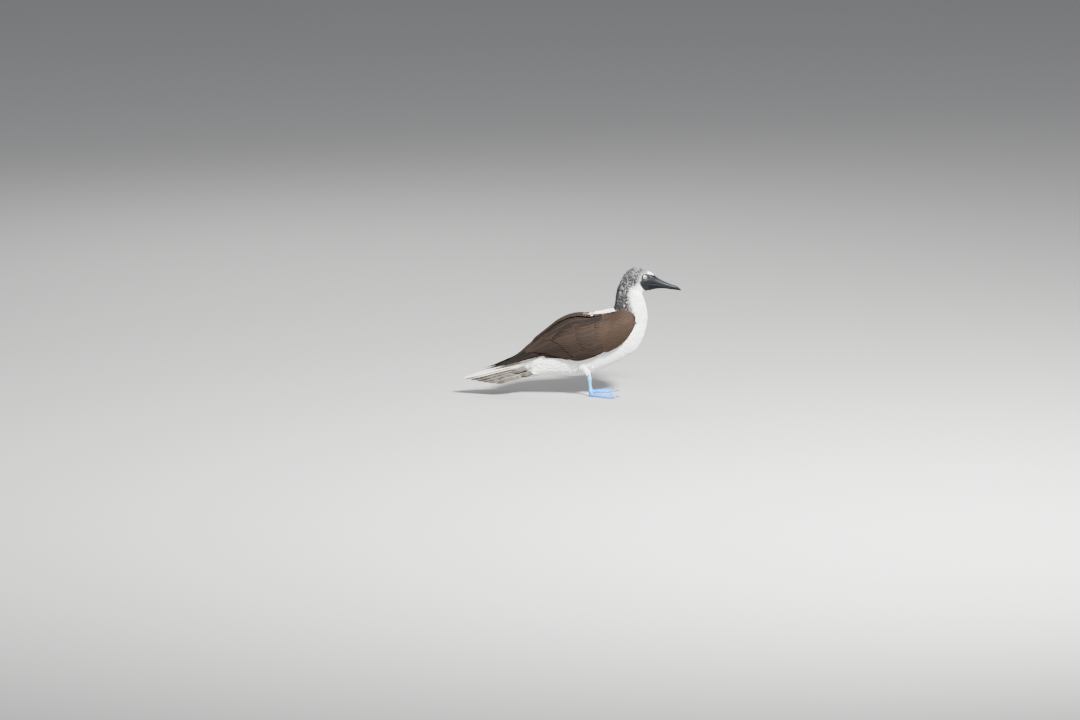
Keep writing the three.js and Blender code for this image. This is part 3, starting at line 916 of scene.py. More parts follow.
@dataclass(frozen=True)
class SmallFeather:
    """One small closed feather, as a ridge over two edges."""

    stops: tuple = (0.0, 0.25, 0.5, 0.72, 0.9)
    widths: tuple = (0.35, 0.82, 1.0, 0.86, 0.5)
    patch: float = 0.003

    @property
    def triangles(self) -> int:
        """How many triangles one feather has."""
        return 6 * (len(self.stops) - 1) + 4

    def lay(
        self,
        roots: ndarray,
        lie: ndarray,
        normals: ndarray,
        sizes: tuple,
        values: dict,
        uv: ndarray,
    ) -> MeshParts:
        """Lays one feather at each root.

        Args:
            roots: where they grow, in millimetres.
            lie: the direction that each follows.
            normals: the outward direction at each.
            sizes: their lengths and widths, how steeply each stands off the skin and how far the
                skin falls away under its tip as shares of its length, and how far each turns
                from the lie in radians.
            values: one number a feather for each named value.
            uv: each root's place on the map.

        Returns:
            The mesh's points and faces.
        """
        count = len(roots)
        lengths, widths, lifts, bends, turned = sizes
        across = unit(np.cross(normals, lie))
        ahead = unit(np.cross(across, normals))
        c, r = np.cos(turned)[:, None], np.sin(turned)[:, None]
        ahead, across = ahead * c + across * r, across * c - ahead * r
        rows = len(self.stops)
        s = np.array([stop for stop in self.stops for _ in range(3)] + [1.0])
        a = np.array([-1.0, 0.0, 1.0] * rows + [0.0])
        w = np.array([width for width in self.widths for _ in range(3)] + [0.0])
        rise = lifts[:, None] * (1.6 * s - 0.6 * s**2)[None, :] - bends[:, None] * s**2
        rise = rise * lengths[:, None]
        ridge = np.where(a == 0, 0.10, 0.0)[None, :] * widths[:, None] * w[None, :]
        places = (
            roots[:, None, :]
            + ahead[:, None, :] * (s[None, :] * lengths[:, None])[..., None]
            + across[:, None, :] * ((a * w)[None, :] * widths[:, None] / 2)[..., None]
            + normals[:, None, :] * (rise + ridge - 0.02 * lengths[:, None])[..., None]
        )
        i = np.arange(rows - 1)[:, None] * 3
        quads = np.concatenate([i + [0, 3, 4, 1], i + [1, 4, 5, 2], i + [2, 5, 3, 0]])
        last, tip = 3 * (rows - 1), 3 * rows
        end = [[last, tip, last + 1], [last + 1, tip, last + 2], [last + 2, tip, last]]
        tris = np.array([*end, [0, 1, 2]])
        size = 3 * rows + 1
        start = (np.arange(count) * size)[:, None, None]
        parts = MeshParts()
        spread = {name: np.repeat(numbers, size) for name, numbers in values.items()}
        spread["along"] = np.tile(s, count)
        spread["across"] = np.tile(a, count)
        patch = np.stack([s - 0.5, a * 0.5], -1) * self.patch
        maps = (np.clip(uv, 0.01, 0.99)[:, None, :] + patch[None]).reshape(-1, 2)
        parts.add(
            places.reshape(-1, 3),
            [(quads[None] + start).reshape(-1, 4), (tris[None] + start).reshape(-1, 3)],
            spread,
            maps,
        )
        return parts


SMALL_FEATHER = SmallFeather()


@dataclass(frozen=True)
class Tier:
    """One tier of a wing's or the tail's large feathers."""

    name: str
    count: int
    roots: tuple
    tips: tuple
    half: tuple
    lift: tuple
    tone: float = 0.5
    point: float = 0.5
    tilt: float = 1.1


WING_TIERS = (
    Tier(
        "primaries", 9,
        ((-108, 0.3), (-102, 0.46), (-92, 0.6), (-78, 0.74), (-62, 0.88)),
        ((-176, 0.26), (-192, 0.34), (-207, 0.42), (-222, 0.52), (-237, 0.66)),
        (7.4, 6.6), (0.2, -1.6), tone=0.0, point=0.9,
    ),
    Tier(
        "secondaries", 15,
        ((-58, 0.12), (-40, 0.36), (-24, 0.52), (-4, 0.68), (14, 0.8), (30, 0.9)),
        ((-152, 0.16), (-142, 0.34), (-126, 0.5), (-100, 0.7), (-68, 0.88), (-34, 0.97)),
        (9.4, 6.4), (-0.4, -0.8), tone=0.35, point=0.6,
    ),
    Tier(
        "greater_coverts", 15,
        ((30, 0.2), (30, 0.36), (36, 0.52), (46, 0.66), (62, 0.78), (76, 0.88)),
        ((-80, 0.3), (-62, 0.44), (-46, 0.58), (-28, 0.73), (-10, 0.86), (8, 0.95)),
        (8.2, 6.2), (0.7, 0.5), tone=0.6,
    ),
    Tier(
        "hand_coverts", 8,
        ((78, 0.7), (88, 0.8), (96, 0.87), (104, 0.95)),
        ((37, 0.7), (22, 0.82), (8, 0.91), (-5, 0.985)),
        (6.4, 5.0), (1.5, 1.0), tone=0.4,
    ),
    Tier(
        "median_coverts", 14,
        ((74, 0.2), (76, 0.4), (86, 0.56), (96, 0.7), (114, 0.88)),
        ((10, 0.32), (8, 0.46), (12, 0.58), (20, 0.68), (32, 0.79), (50, 0.94)),
        (8.0, 6.0), (1.7, 1.7), tone=0.65,
    ),
    Tier(
        "front_coverts", 13,
        ((112, 0.2), (114, 0.5), (120, 0.68), (132, 0.9)),
        ((62, 0.28), (60, 0.46), (66, 0.62), (78, 0.78), (96, 0.95)),
        (7.4, 5.4), (2.3, 2.2), tone=0.75,
    ),
    Tier(
        "scapulars", 11,
        ((112, 0.12), (8, 0.14)),
        ((66, 0.19), (44, 0.2), (20, 0.22), (-2, 0.26), (-22, 0.32), (-40, 0.4), (-56, 0.48)),
        (9.0, 9.5), (2.5, 2.1), tone=0.3,
    ),
)

# The folded wing's outer face: x, the top edge's y and z, the bottom edge's y and z, bulge, depth.
WING_STATIONS = (
    (173, 49, 222, 51, 202, 1.5, 7),
    (158, 48, 233.5, 60, 177, 6, 11),
    (132, 44, 235, 66, 150.5, 13, 15),
    (92, 27, 226, 68, 130, 22, 17),
    (50, 19, 220, 66, 113, 25.5, 17),
    (8, 14, 219.5, 61, 105, 23, 17),
    (-31, 11, 205, 54, 107, 18, 15),
    (-71, 8, 175, 44, 107, 13, 11),
    (-113, 7, 141, 33, 100, 8, 8),
    (-151, 7, 107, 25, 92.5, 4, 5),
    (-192, 9, 88, 19, 81, 2, 3),
    (-222, 12, 77, 15, 74, 0.5, 1.6),
    (-238, 13, 73.5, 14, 72, 0.2, 1),
)


@dataclass
class Wing:
    """One folded wing: the face that its feathers follow, its body and its tiers."""

    side: int
    core_sink: float = 2.6
    core_end: float = -128.0
    lesser_rows: int = 9
    lesser_start: float = 104
    lesser_step: float = 7.6
    fray: float = 0.12
    draw_in: float = 0.82

    def __post_init__(self) -> None:
        self.random = np.random.default_rng(SEED + 5 + self.side)
        self.u = np.linspace(0, 1, 600)
        self.table = smooth_column(WING_STATIONS, self.u)

    @property
    def label(self) -> str:
        """The side's name."""
        return SIDE_NAMES[self.side]

    def read(self, x: ndarray, column: int) -> ndarray:
        """One column of the wing's stations at x."""
        return np.interp(x, self.table[:, 0][::-1], self.table[:, column][::-1])

    def face(self, x: ndarray, v: ndarray, lift: ndarray) -> tuple[ndarray, ndarray]:
        """Points over the wing's face.

        Args:
            x: places along the bird.
            v: shares of the way down the face, from the top edge 0 to the bottom edge 1.
            lift: heights over the face.

        Returns:
            The points, and the outward directions there.
        """
        top_y, top_z, low_y, low_z, bulge = (self.read(x, k) for k in range(1, 6))
        chord_y, chord_z = low_y - top_y, low_z - top_z
        length = np.hypot(chord_y, chord_z)
        out_y, out_z = -chord_z / length, chord_y / length
        slope_y = chord_y + out_y * bulge * 4 * (1 - 2 * v)
        slope_z = chord_z + out_z * bulge * 4 * (1 - 2 * v)
        size = np.hypot(slope_y, slope_z)
        normal_y, normal_z = -slope_z / size, slope_y / size
        rise = bulge * 4 * v * (1 - v)
        y = top_y + chord_y * v + out_y * rise + normal_y * lift
        z = top_z + chord_z * v + out_z * rise + normal_z * lift
        points = np.stack([np.broadcast_to(x, y.shape), self.side * y, z], -1)
        return points, np.stack([np.zeros_like(y), self.side * normal_y, normal_z], -1)

    def chord(self, x: ndarray) -> ndarray:
        """The height of the face at x, along its chord."""
        return np.hypot(self.read(x, 3) - self.read(x, 1), self.read(x, 4) - self.read(x, 2))

    def build_body(self) -> Object:
        """The wing's own body under its feathers.

        Returns:
            The body's piece.
        """
        x = np.linspace(172.5, self.core_end, 90)
        behind = np.clip((x - self.core_end) / 60, 0, 1)
        depth = self.read(x, 6) * (0.35 + 0.65 * behind)
        reach = 0.5 + 0.5 * behind
        v = np.linspace(0, 1, 28)[None, :] * reach[:, None]
        grid_x = x[:, None] * np.ones_like(v)
        front = smoothstep(112, 150, x)
        sink = np.minimum(self.core_sink * (1 - 0.6 * front), depth * 0.3)[:, None]
        outer, _ = self.face(grid_x, v, -sink)
        inner, _ = self.face(grid_x, v, -depth[:, None] * (0.5 + 1.2 * v * (1 - v)))
        parts = MeshParts()
        rings = np.concatenate([outer, inner[:, ::-1]], 1)
        values = {"tone": 0.55, "along": 0.4, "across": 0.5, "chance": 0.5}
        parts.add(*closed_loft(rings), values)
        return parts.build(f"wing_body_{self.label}")

    def vane(self, tier: Tier, share: float) -> dict:
        """One feather's own sizes, varied a little.

        Args:
            tier: the tier that it belongs to.
            share: its place in the tier, from the uppermost 0 to the lowest 1.

        Returns:
            Its root, tip, half width and lift.
        """
        root = even_run(tier.roots, share)
        tip = even_run(tier.tips, share)
        draw = self.random.uniform
        return {
            "root": root + [draw(-2, 2), 0],
            "tip": tip + [draw(-2, 2), draw(-0.008, 0.008)],
            "half": (tier.half[0] * (1 - share) + tier.half[1] * share) * draw(0.94, 1.06),
            "lift": tier.lift[0] * (1 - share) + tier.lift[1] * share + draw(-0.1, 0.1),
        }

    def lay(self, tier: Tier, cell: tuple, facts: dict, parts: MeshParts) -> None:
        """Adds one feather as a thin closed vane that follows the wing's face.

        Args:
            tier: the tier that it belongs to.
            cell: its place on the map, and how many feathers share the map.
            facts: its root, tip, half width and lift.
            parts: the mesh that it is added to.
        """
        s, a = VANE_ALONG, VANE_ACROSS
        width = vane_width(s, tier.point) * facts["half"]
        x = facts["root"][0] + (facts["tip"][0] - facts["root"][0]) * s
        v = facts["root"][1] + (facts["tip"][1] - facts["root"][1]) * s
        grid_x = x + 0.25 * width * np.abs(a) ** 2 * smoothstep(0.7, 1, s)
        grid_v = np.clip(v + a * (width / np.maximum(self.chord(x), 6)), -0.02, 1.03)
        frayed = self.random.normal(0, self.fray, (s.size, a.size)) * smoothstep(0.5, 1, s)
        rise = (
            facts["lift"]
            - 4.5 * (1 - smoothstep(0, 0.22, s))
            + 0.7 * s**2
            + tier.tilt * a * (width / facts["half"])
            + 0.35 * (1 - np.abs(a) ** 1.5)
            + 0.25 * np.exp(-((a / 0.12) ** 2))
        )
        top, _ = self.face(grid_x + frayed, grid_v, rise)
        low, _ = self.face(grid_x + frayed, grid_v, rise - VANE_THICKNESS)
        add_sheet(parts, top, low, cell, self.values(tier))

    def values(self, tier: Tier) -> dict:
        """One feather's tone and chance."""
        return {"tone": tier.tone, "chance": self.random.random()}

    def build_tiers(self) -> dict:
        """All tiers of large feathers, and rows of small coverts up to the wrist.

        Returns:
            The pieces by name.
        """
        pieces = {}
        for tier in WING_TIERS:
            parts = MeshParts()
            for i in range(tier.count):
                self.lay(tier, (i, tier.count), self.vane(tier, i / (tier.count - 1)), parts)
            name = f"{tier.name}_{self.label}"
            pieces[name] = parts.build(name)
            LOG.info("%s: %d feathers", name, tier.count)
        name = f"lesser_coverts_{self.label}"
        pieces[name] = self.build_lesser(name)
        return pieces

    def build_lesser(self, name: str) -> Object:
        """Rows of small coverts from the front coverts to the wrist.

        Args:
            name: the piece's name.

        Returns:
            The rows as one piece.
        """
        parts = MeshParts()
        counts = [round(15 - 0.9 * row) for row in range(self.lesser_rows)]
        total = sum(counts)
        cell = 0
        for row, count in enumerate(counts):
            start = self.lesser_start + self.lesser_step * row
            length = 27 - 1.3 * row
            tier = Tier("lesser", count, (), (), (), (), tone=0.8, tilt=0.35)
            for i in range(count):
                v = 0.03 + 0.94 * (i + 0.5 * (row % 2)) / (count - 0.5)
                bend = 9 * (2 * v - 1) ** 2 * (1 if v > 0.5 else 0.3)
                x = min(start + bend, 169)
                half = float(self.chord(np.array(x))) / count * self.draw_in
                draw = self.random.uniform
                facts = {
                    "root": np.array([x + draw(-1.5, 1.5) + 6, v]),
                    "tip": np.array([x - length + draw(-1.5, 1.5), min(1.0, v + 0.03)]),
                    "half": max(half, 2.6) * draw(0.95, 1.1),
                    "lift": 2.7 - 0.1 * row,
                }
                self.lay(tier, (cell, total), facts, parts)
                cell += 1
        LOG.info("%s: %d feathers", name, total)
        return parts.build(name)


@dataclass
class Mantle:
    """The feathers of the upper back, a roof from one wing's top edge to the other's."""

    wing: "Wing"
    front: float = 123.0
    rear: float = -74.0
    step: float = 7.5
    white_front: float = 100.0
    white_rear: float = 40.0
    overhang: float = 1.15
    half: float = 5.6
    point: float = 0.35

    def __post_init__(self) -> None:
        self.random = np.random.default_rng(SEED + 60)
        backs = [back[:2] for back, _, _ in BODY_FORM.ribs]
        self.backs = smooth_column(backs, np.linspace(0, 0.75, 300))

    def surface(self, x: ndarray, across: ndarray, lift: ndarray) -> ndarray:
        """Points of the roof.

        Args:
            x: places along the bird.
            across: shares of the way from the middle 0 to a wing's top edge, -1 and 1.
            lift: heights over the roof.

        Returns:
            The points.
        """
        reach = self.wing.read(x, 1) + 1.0
        edge = self.wing.read(x, 2) + 1.8
        back = np.minimum(np.interp(x, self.backs[:, 0], self.backs[:, 1]) + 0.8, edge + 3.5)
        middle = np.maximum(back, edge - 5.0)
        inner = np.minimum(np.abs(across), 1.0)
        z = middle + (edge - middle) * inner**1.5
        over = np.maximum(np.abs(across) - 1.0, 0.0) * reach
        share = np.clip(over / self.wing.chord(x), 0, 1)
        face, _ = self.wing.face(x, share, 2.6 + lift)
        outside = smoothstep(0.9, 1.15, np.abs(across))
        roof = np.stack([x, across * reach, z + lift], -1)
        shell = np.stack([x, np.sign(across) * np.abs(face[..., 1]), face[..., 2]], -1)
        return roof + (shell - roof) * outside[..., None]

    def build(self) -> Object:
        """Lays the roof's feathers row by row.

        Returns:
            The rows as one piece.
        """
        parts = MeshParts()
        rows = np.arange(self.rear, self.front, self.step)
        spots = []
        for row, x in enumerate(rows):
            reach = float(self.wing.read(x, 1)) + 3.0
            count = max(4, round(2.3 * reach / 6.0))
            for i in range(count):
                across = ((i + 0.5 * (row % 2) + 0.25) / count * 2 - 1) * self.overhang
                spots.append((x, across, reach))
        for cell, (x, across, reach) in enumerate(spots):
            self.lay(parts, x, across, reach, (cell, len(spots)))
        LOG.info("mantle: %d feathers", len(spots))
        return parts.build("mantle")

    def lay(self, parts: MeshParts, x: float, across: float, reach: float, cell: tuple) -> None:
        """Adds one feather of the roof.

        Args:
            parts: the mesh that it is added to.
            x: where its root lies.
            across: its place across the roof.
            reach: the roof's half width there.
            cell: its place on the map, and how many feathers share the map.
        """
        draw = self.random.uniform
        s, a = VANE_ALONG, VANE_ACROSS
        length = (20 + 9 * smoothstep(60, -20, np.array(x))) * draw(0.9, 1.1)
        half = self.half * draw(0.9, 1.1)
        root = x + draw(-1.5, 1.5)
        width = vane_width(s, self.point) * half
        grid_x = root - length * s + 0 * a
        grid_a = across + 0.06 * draw(-1, 1) * s + a * (width / reach)
        crown = 0.5 * (1 - np.abs(a) ** 1.5) * (width / half)
        lift = crown - 3.0 * (1 - smoothstep(0, 0.3, s)) + 0.5 * s**2 + draw(0, 0.4)
        top = self.surface(grid_x, grid_a, lift)
        low = self.surface(grid_x, grid_a, lift - VANE_THICKNESS)
        pale = float(smoothstep(self.white_rear, self.white_front, np.array(x)))
        pale = pale * float(1 - smoothstep(0.85, 1.1, np.array(abs(across)))) * draw(0.75, 1.0)
        values = {"tone": 0.45, "chance": draw(0, 1), "pale": pale}
        add_sheet(parts, top, low, cell, values)


# A large feather's places along it, as a column, and across it, as a row.
VANE_ALONG = np.array((0.0, 0.1, 0.22, 0.38, 0.54, 0.68, 0.79, 0.87, 0.93, 0.97, 1.0))[:, None]
VANE_ACROSS = np.linspace(-1, 1, 9)[None, :]
VANE_THICKNESS = 0.3


def vane_width(s: ndarray, point: float) -> ndarray:
    """A large feather's width along its length, as a share of its greatest.

    Args:
        s: places from the root 0 to the tip 1.
        point: how pointed the tip is, from 0 to 1.

    Returns:
        The shares.
    """
    start = 0.9 - 0.42 * point
    closing = np.clip((s - start) / (1 - start), 0, 1)
    rounded = np.sqrt(np.maximum(1 - closing**2, 0.0004))
    pointed = 1 - closing**1.6
    root = 0.55 + 0.45 * smoothstep(0, 0.35, s)
    return root * np.maximum(rounded * (1 - point) + pointed * point, 0.03)


def add_sheet(
    parts: MeshParts,
    top: ndarray,
    low: ndarray,
    cell: tuple,
    values: dict,
) -> None:
    """Adds a thin closed sheet from its outer and inner points.

    Args:
        parts: the mesh that it is added to.
        top: the outer face's points, row by row.
        low: the inner face's points.
        cell: its place on the map, and how many feathers share the map.
        values: numbers that hold for the whole feather.
    """
    rows, columns, _ = top.shape
    ring = np.concatenate([top, low[:, ::-1]], 1)
    points, faces = closed_loft(ring)
    there_and_back = np.concatenate([VANE_ACROSS[0], VANE_ACROSS[0, ::-1]])
    along = np.concatenate([np.repeat(VANE_ALONG, 2 * columns), [0.0, 1.0]])
    across = np.concatenate([np.tile(there_and_back, rows), [0.0, 0.0]])
    index, cells = cell
    wide = math.ceil(math.sqrt(cells))
    origin = np.array([index % wide, index // wide]) / wide
    uv = origin + (np.stack([across * 0.42 + 0.5, along * 0.84 + 0.08], -1)) / wide
    parts.add(points, faces, {**values, "along": along, "across": across}, uv)


@dataclass
class Tail:
    """The wedge tail: its long feathers, like a roof, and the coverts over and under their roots."""

    thickness: float = 0.35

    def __post_init__(self) -> None:
        self.random = np.random.default_rng(SEED + 90)

    def tiers(self) -> tuple:
        """The tail's tiers of feathers.

        Returns:
            Each tier's name, count, roots, tips, swell, lean, half widths, point and fan.
        """
        tips = ((-294, 3, 46), (-284, 8, 44), (-266, 14, 41.5))
        tips += ((-247, 20, 39.5), (-228, 25.5, 38.5), (-208, 31, 38.5))
        long = ((-118, 2, 92), (-118, 10, 58))
        over = ((-108, 3, 110), (-108, 14, 84)), ((-182, 4, 81.5), (-160, 22, 62))
        under = ((-100, 2, 50), (-98, 19, 66)), ((-166, 3, 42), (-134, 23, 55))
        return (
            ("rectrices", 7, long, tips, (1.5, 9), (14, 58), (13.5, 12.5), 0.42, (0.0, 1.0)),
            ("upper_coverts", 9, *over, (1.5, 3), (12, 66), (6.8, 6.8), 0.7, (-0.35, 0.55)),
            ("under_coverts", 11, *under, (-1, 2), (172, 105), (6.4, 6.4), 0.6, (-0.35, 0.6)),
        )

    def build(self) -> dict:
        """All of the tail's feathers.

        Returns:
            The pieces by name.
        """
        pieces = {}
        for name, count, roots, tips, swell, lean, half, point, fan in self.tiers():
            parts = MeshParts()
            for side in BOTH:
                for i in range(count):
                    share = i / (count - 1)
                    root = even_run(roots, share) * [1, side, 1]
                    stray = [self.random.uniform(-1.5, 1.5), 0, 0]
                    tip = (even_run(tips, share) + stray) * [1, side, 1]
                    angle = math.radians(lean[0] * (1 - share) + lean[1] * share)
                    normal = np.array([0, side * math.sin(angle), math.cos(angle)])
                    facts = (
                        swell[0] * (1 - share) + swell[1] * share,
                        half[0] * (1 - share) + half[1] * share,
                        fan[0] * (1 - share) + fan[1] * share,
                    )
                    cell = (i + (count if side > 0 else 0), 2 * count)
                    self.lay(parts, root, tip, normal, side, facts, point, cell)
            pieces[f"tail_{name}"] = parts.build(f"tail_{name}")
            LOG.info("tail_%s: %d feathers", name, 2 * count)
        return pieces

    def lay(
        self,
        parts: MeshParts,
        root: ndarray,
        tip: ndarray,
        normal: ndarray,
        side: int,
        facts: tuple,
        point: float,
        cell: tuple,
    ) -> None:
        """Adds one feather as a thin closed vane.

        Args:
            parts: the mesh that it is added to.
            root: where it starts.
            tip: where it ends.
            normal: its outward direction.
            side: the bird's side.
            facts: how far it bows out, its half width, and its place in the fan.
            point: how pointed its tip is.
            cell: its place on the map, and how many feathers share the map.
        """
        swell, half, fan = facts
        s, a = VANE_ALONG, VANE_ACROSS
        spine = root + (tip - root) * s + normal * (swell * np.sin(np.pi * s))
        run = unit(np.gradient(spine, axis=0))
        out = unit(normal - run * (run @ normal)[:, None])
        across = np.cross(run, out)
        width = vane_width(s, point) * half
        rise = (
            side * a * (width / half)
            - 0.9 * a**2 * (width / half)
            + 0.3 * np.exp(-((a / 0.1) ** 2))
        )
        spread = across[:, None] * (a * width)[..., None]
        top = spine[:, None] + spread + out[:, None] * rise[..., None]
        low = top - out[:, None] * self.thickness
        values = {"fan": fan, "chance": self.random.random()}
        add_sheet(parts, top, low, cell, values)


@dataclass(frozen=True)
class Bill:
    """The long straight bill: two mandibles that meet along the mouth's line."""

    base: float = 206.5
    culmen_base: float = 222.0
    gape: float = 188.0
    lore: float = 3.0
    tips: tuple = (295.6, 293.2)
    mouth: tuple = ((184, 310), (226, 304), (268, 294), (301, 282.5))
    rows: int = 150
    columns: int = 64
    gap: float = 0.4

    def outline(self, x: ndarray) -> tuple[ndarray, ndarray, ndarray, ndarray]:
        """The bill's top, bottom, half width and mouth line at x.

        Args:
            x: places along the bill.

        Returns:
            The four values at each place.
        """
        t = np.linspace(0.3, 1, 400)
        backs = smooth_column([[b[0], b[1], h] for b, _, h in HEAD_FORM.ribs], t)
        bellies = smooth_column([[b[0], b[1]] for _, b, _ in HEAD_FORM.ribs], t)
        top = np.interp(x, backs[:, 0], backs[:, 1])
        low = np.interp(x, bellies[:, 0], bellies[:, 1])
        half = np.interp(x, (backs[:, 0] + bellies[:, 0]) / 2, backs[:, 2])
        mouth = np.interp(x, [p[0] for p in self.mouth], [p[1] for p in self.mouth])
        return top, low, half, mouth

    def mandible(self, upper: bool) -> Object:
        """One mandible.

        Args:
            upper: whether it is the upper one.

        Returns:
            Its piece.
        """
        sign = 1 if upper else -1
        end = self.tips[0] if upper else self.tips[1]
        phi = np.linspace(0, math.pi, self.columns)
        c, s = np.cos(phi)[None, :], np.sin(phi)[None, :]
        start = self.base + upper * (self.culmen_base - self.base) * smoothstep(0.72, 0.96, s)
        start = start - (self.base - self.gape) * (1 - smoothstep(0.0, 0.5, s))
        start = start + self.lore * np.sin(math.pi * np.clip(s, 0, 0.8) / 0.8) ** 2
        run = (1 - (1 - np.linspace(0, 1, self.rows)) ** 1.25)[:, None]
        x = start + (end - start) * run
        top, low, half, mouth = self.outline(x)
        edge = mouth + sign * self.gap / 2
        tall = np.maximum(sign * ((top if upper else low) - edge), 0.3)
        grown = smoothstep(0.0, 0.3, run)
        tuck = 1.0 + 0.012 * grown - 0.07 * (1 - smoothstep(0, 0.035, run))
        distal = smoothstep(209, 216, x) * (1 - smoothstep(262, 284, x))
        groove = np.exp(-(((np.abs(c) - 0.62) / 0.06) ** 2)) * distal
        plate = np.exp(-(((np.abs(c) - 0.9) / 0.05) ** 2)) * distal * 0.5
        keel = np.exp(-((c / 0.16) ** 2)) * smoothstep(218, 232, x) * 0.3
        saw = 0.5 + 0.5 * np.sin(x * 3.4)
        tooth = 0.22 * saw * np.exp(-((s / 0.12) ** 2)) * smoothstep(222, 236, x)
        wide = half * tuck * (1 - (0.06 if upper else 0.03) * groove - 0.02 * plate)
        y = wide * np.sign(c) * np.abs(c) ** (0.93 - (0.13 if upper else 0.05) * grown)
        z = np.abs(s) ** (1 - (0.08 if upper else 0.2) * grown) * tall * tuck
        z = z + keel * (0.6 if upper else 0.25)
        grid = np.stack([x, y, edge + sign * (z - tooth * 0.4)], -1)
        deep = edge + sign * 0.5 * np.minimum(tall, 1.6) / 1.6
        inside = np.stack([x, y * 0.86, deep + 0 * y], -1)[:, ::-1]
        rings = np.concatenate([grid, inside[:, 2:-2]], 1)
        relief = np.concatenate([groove + plate, np.zeros((self.rows, self.columns - 4))], 1)
        share = np.concatenate([np.abs(s) + 0 * y, np.zeros((self.rows, self.columns - 4))], 1)
        if not upper:
            rings, relief, share = rings[:, ::-1], relief[:, ::-1], share[:, ::-1]
        points, faces = closed_loft(rings)
        values = {
            "length": (points[:, 0] - self.base) / (end - self.base),
            "height": np.append(share.ravel() * sign, [0, 0]),
            "groove": np.append(relief.ravel(), [0, 0]),
        }
        parts = MeshParts()
        parts.add(points, faces, values)
        return parts.build("bill_upper_horn" if upper else "bill_lower_horn")


# The lids' cut: how far from the opening's edge, and how high over the eyeball's centre.
LID_PROFILE = (
    (-0.45, 3.0), (-0.25, 3.9), (0.05, 4.5), (0.4, 4.8), (0.75, 4.75), (1.05, 4.4),
    (1.35, 4.15), (1.75, 4.2), (2.2, 3.9), (2.8, 3.1), (3.2, 2.0), (2.2, 0.6),
    (0.2, 1.4),
)


@dataclass(frozen=True)
class EyeParts:
    """The eyeballs and the lids round them."""

    rings: int = 64
    sides: int = 72

    def ball(self, side: int) -> Object:
        """One eyeball, with the clear front a little raised.

        Args:
            side: the bird's side.

        Returns:
            Its piece.
        """
        polar = np.linspace(0.004, math.pi - 0.004, self.rings)[:, None]
        turn = turns(self.sides)[None, :]
        bulge = 1 + 0.05 * np.exp(-((polar / 0.55) ** 2))
        radius = EYE.radius * bulge
        points = EYE.place(side, radius * np.cos(polar) + 0 * turn, radius * np.sin(polar), turn)
        if side < 0:
            points = points[:, ::-1]
            turn = turn[:, ::-1]
        parts = MeshParts()
        spokes = (np.cos(turn * 9) * 0.5 + 0.5) * np.ones_like(polar)
        values = {
            "polar": np.concatenate([(polar + 0 * turn).ravel(), [0, math.pi]]),
            "spoke": np.concatenate([spokes.ravel(), [0, 0]]),
        }
        mesh_points, faces = closed_loft(points)
        parts.add(mesh_points, faces, values)
        return parts.build(f"eyeball_{SIDE_NAMES[side]}")

    def lids(self, side: int) -> Object:
        """The lids round one eye, with a fold behind the rim.

        Args:
            side: the bird's side.

        Returns:
            Their piece.
        """
        turn = turns(self.sides)
        above, under = np.maximum(np.sin(turn), 0), np.maximum(-np.sin(turn), 0)
        flat_top = 1 - 0.12 * above**2 - 0.05 * under**2 + 0.1 * np.abs(np.cos(turn)) ** 3
        run = smooth_column(LID_PROFILE, np.linspace(0, 1, 52))
        ring = (EYE.opening * flat_top)[:, None] + run[None, :, 0]
        creases = np.sin(turn * 17 + 1.3 * np.sin(turn * 3)) + 0.6 * np.sin(turn * 29 + 2)
        wrinkle = 0.07 * creases[:, None] * smoothstep(0.2, 1.6, run[:, 0])[None, :]
        height = run[None, :, 1] + wrinkle - 0.25 * np.cos(turn)[:, None] * (run[None, :, 0] > 0.5)
        points = EYE.place(side, height, ring, turn[:, None])
        parts = MeshParts()
        rows, columns = ring.shape
        j = np.arange(columns)
        k = (j + 1) % columns
        last = (rows - 1) * columns
        closing = np.stack([last + j, last + k, k, j], -1)
        faces = np.vstack([grid_quads(rows, columns, True), closing])
        if side > 0:
            faces = faces[:, ::-1]
        parts.add(points.reshape(-1, 3), [faces])
        return parts.build(f"lids_{SIDE_NAMES[side]}")


# Each toe: its heading in degrees, its length and its claw's length.
TOES = ((21, 70, 9), (-1, 72, 10.5), (-22, 54, 8.5), (-80, 25, 6))
TURN_OUT = 12
# Each stop: the share of the way down the shank, and the radius there.
SHANK_STOPS = (
    (0, 5.0), (0.1, 6.1), (0.24, 5.4), (0.4, 4.0), (0.6, 3.8), (0.78, 4.0), (0.9, 4.9),
    (1, 5.4), (1.16, 5.6), (1.25, 4.2),
)


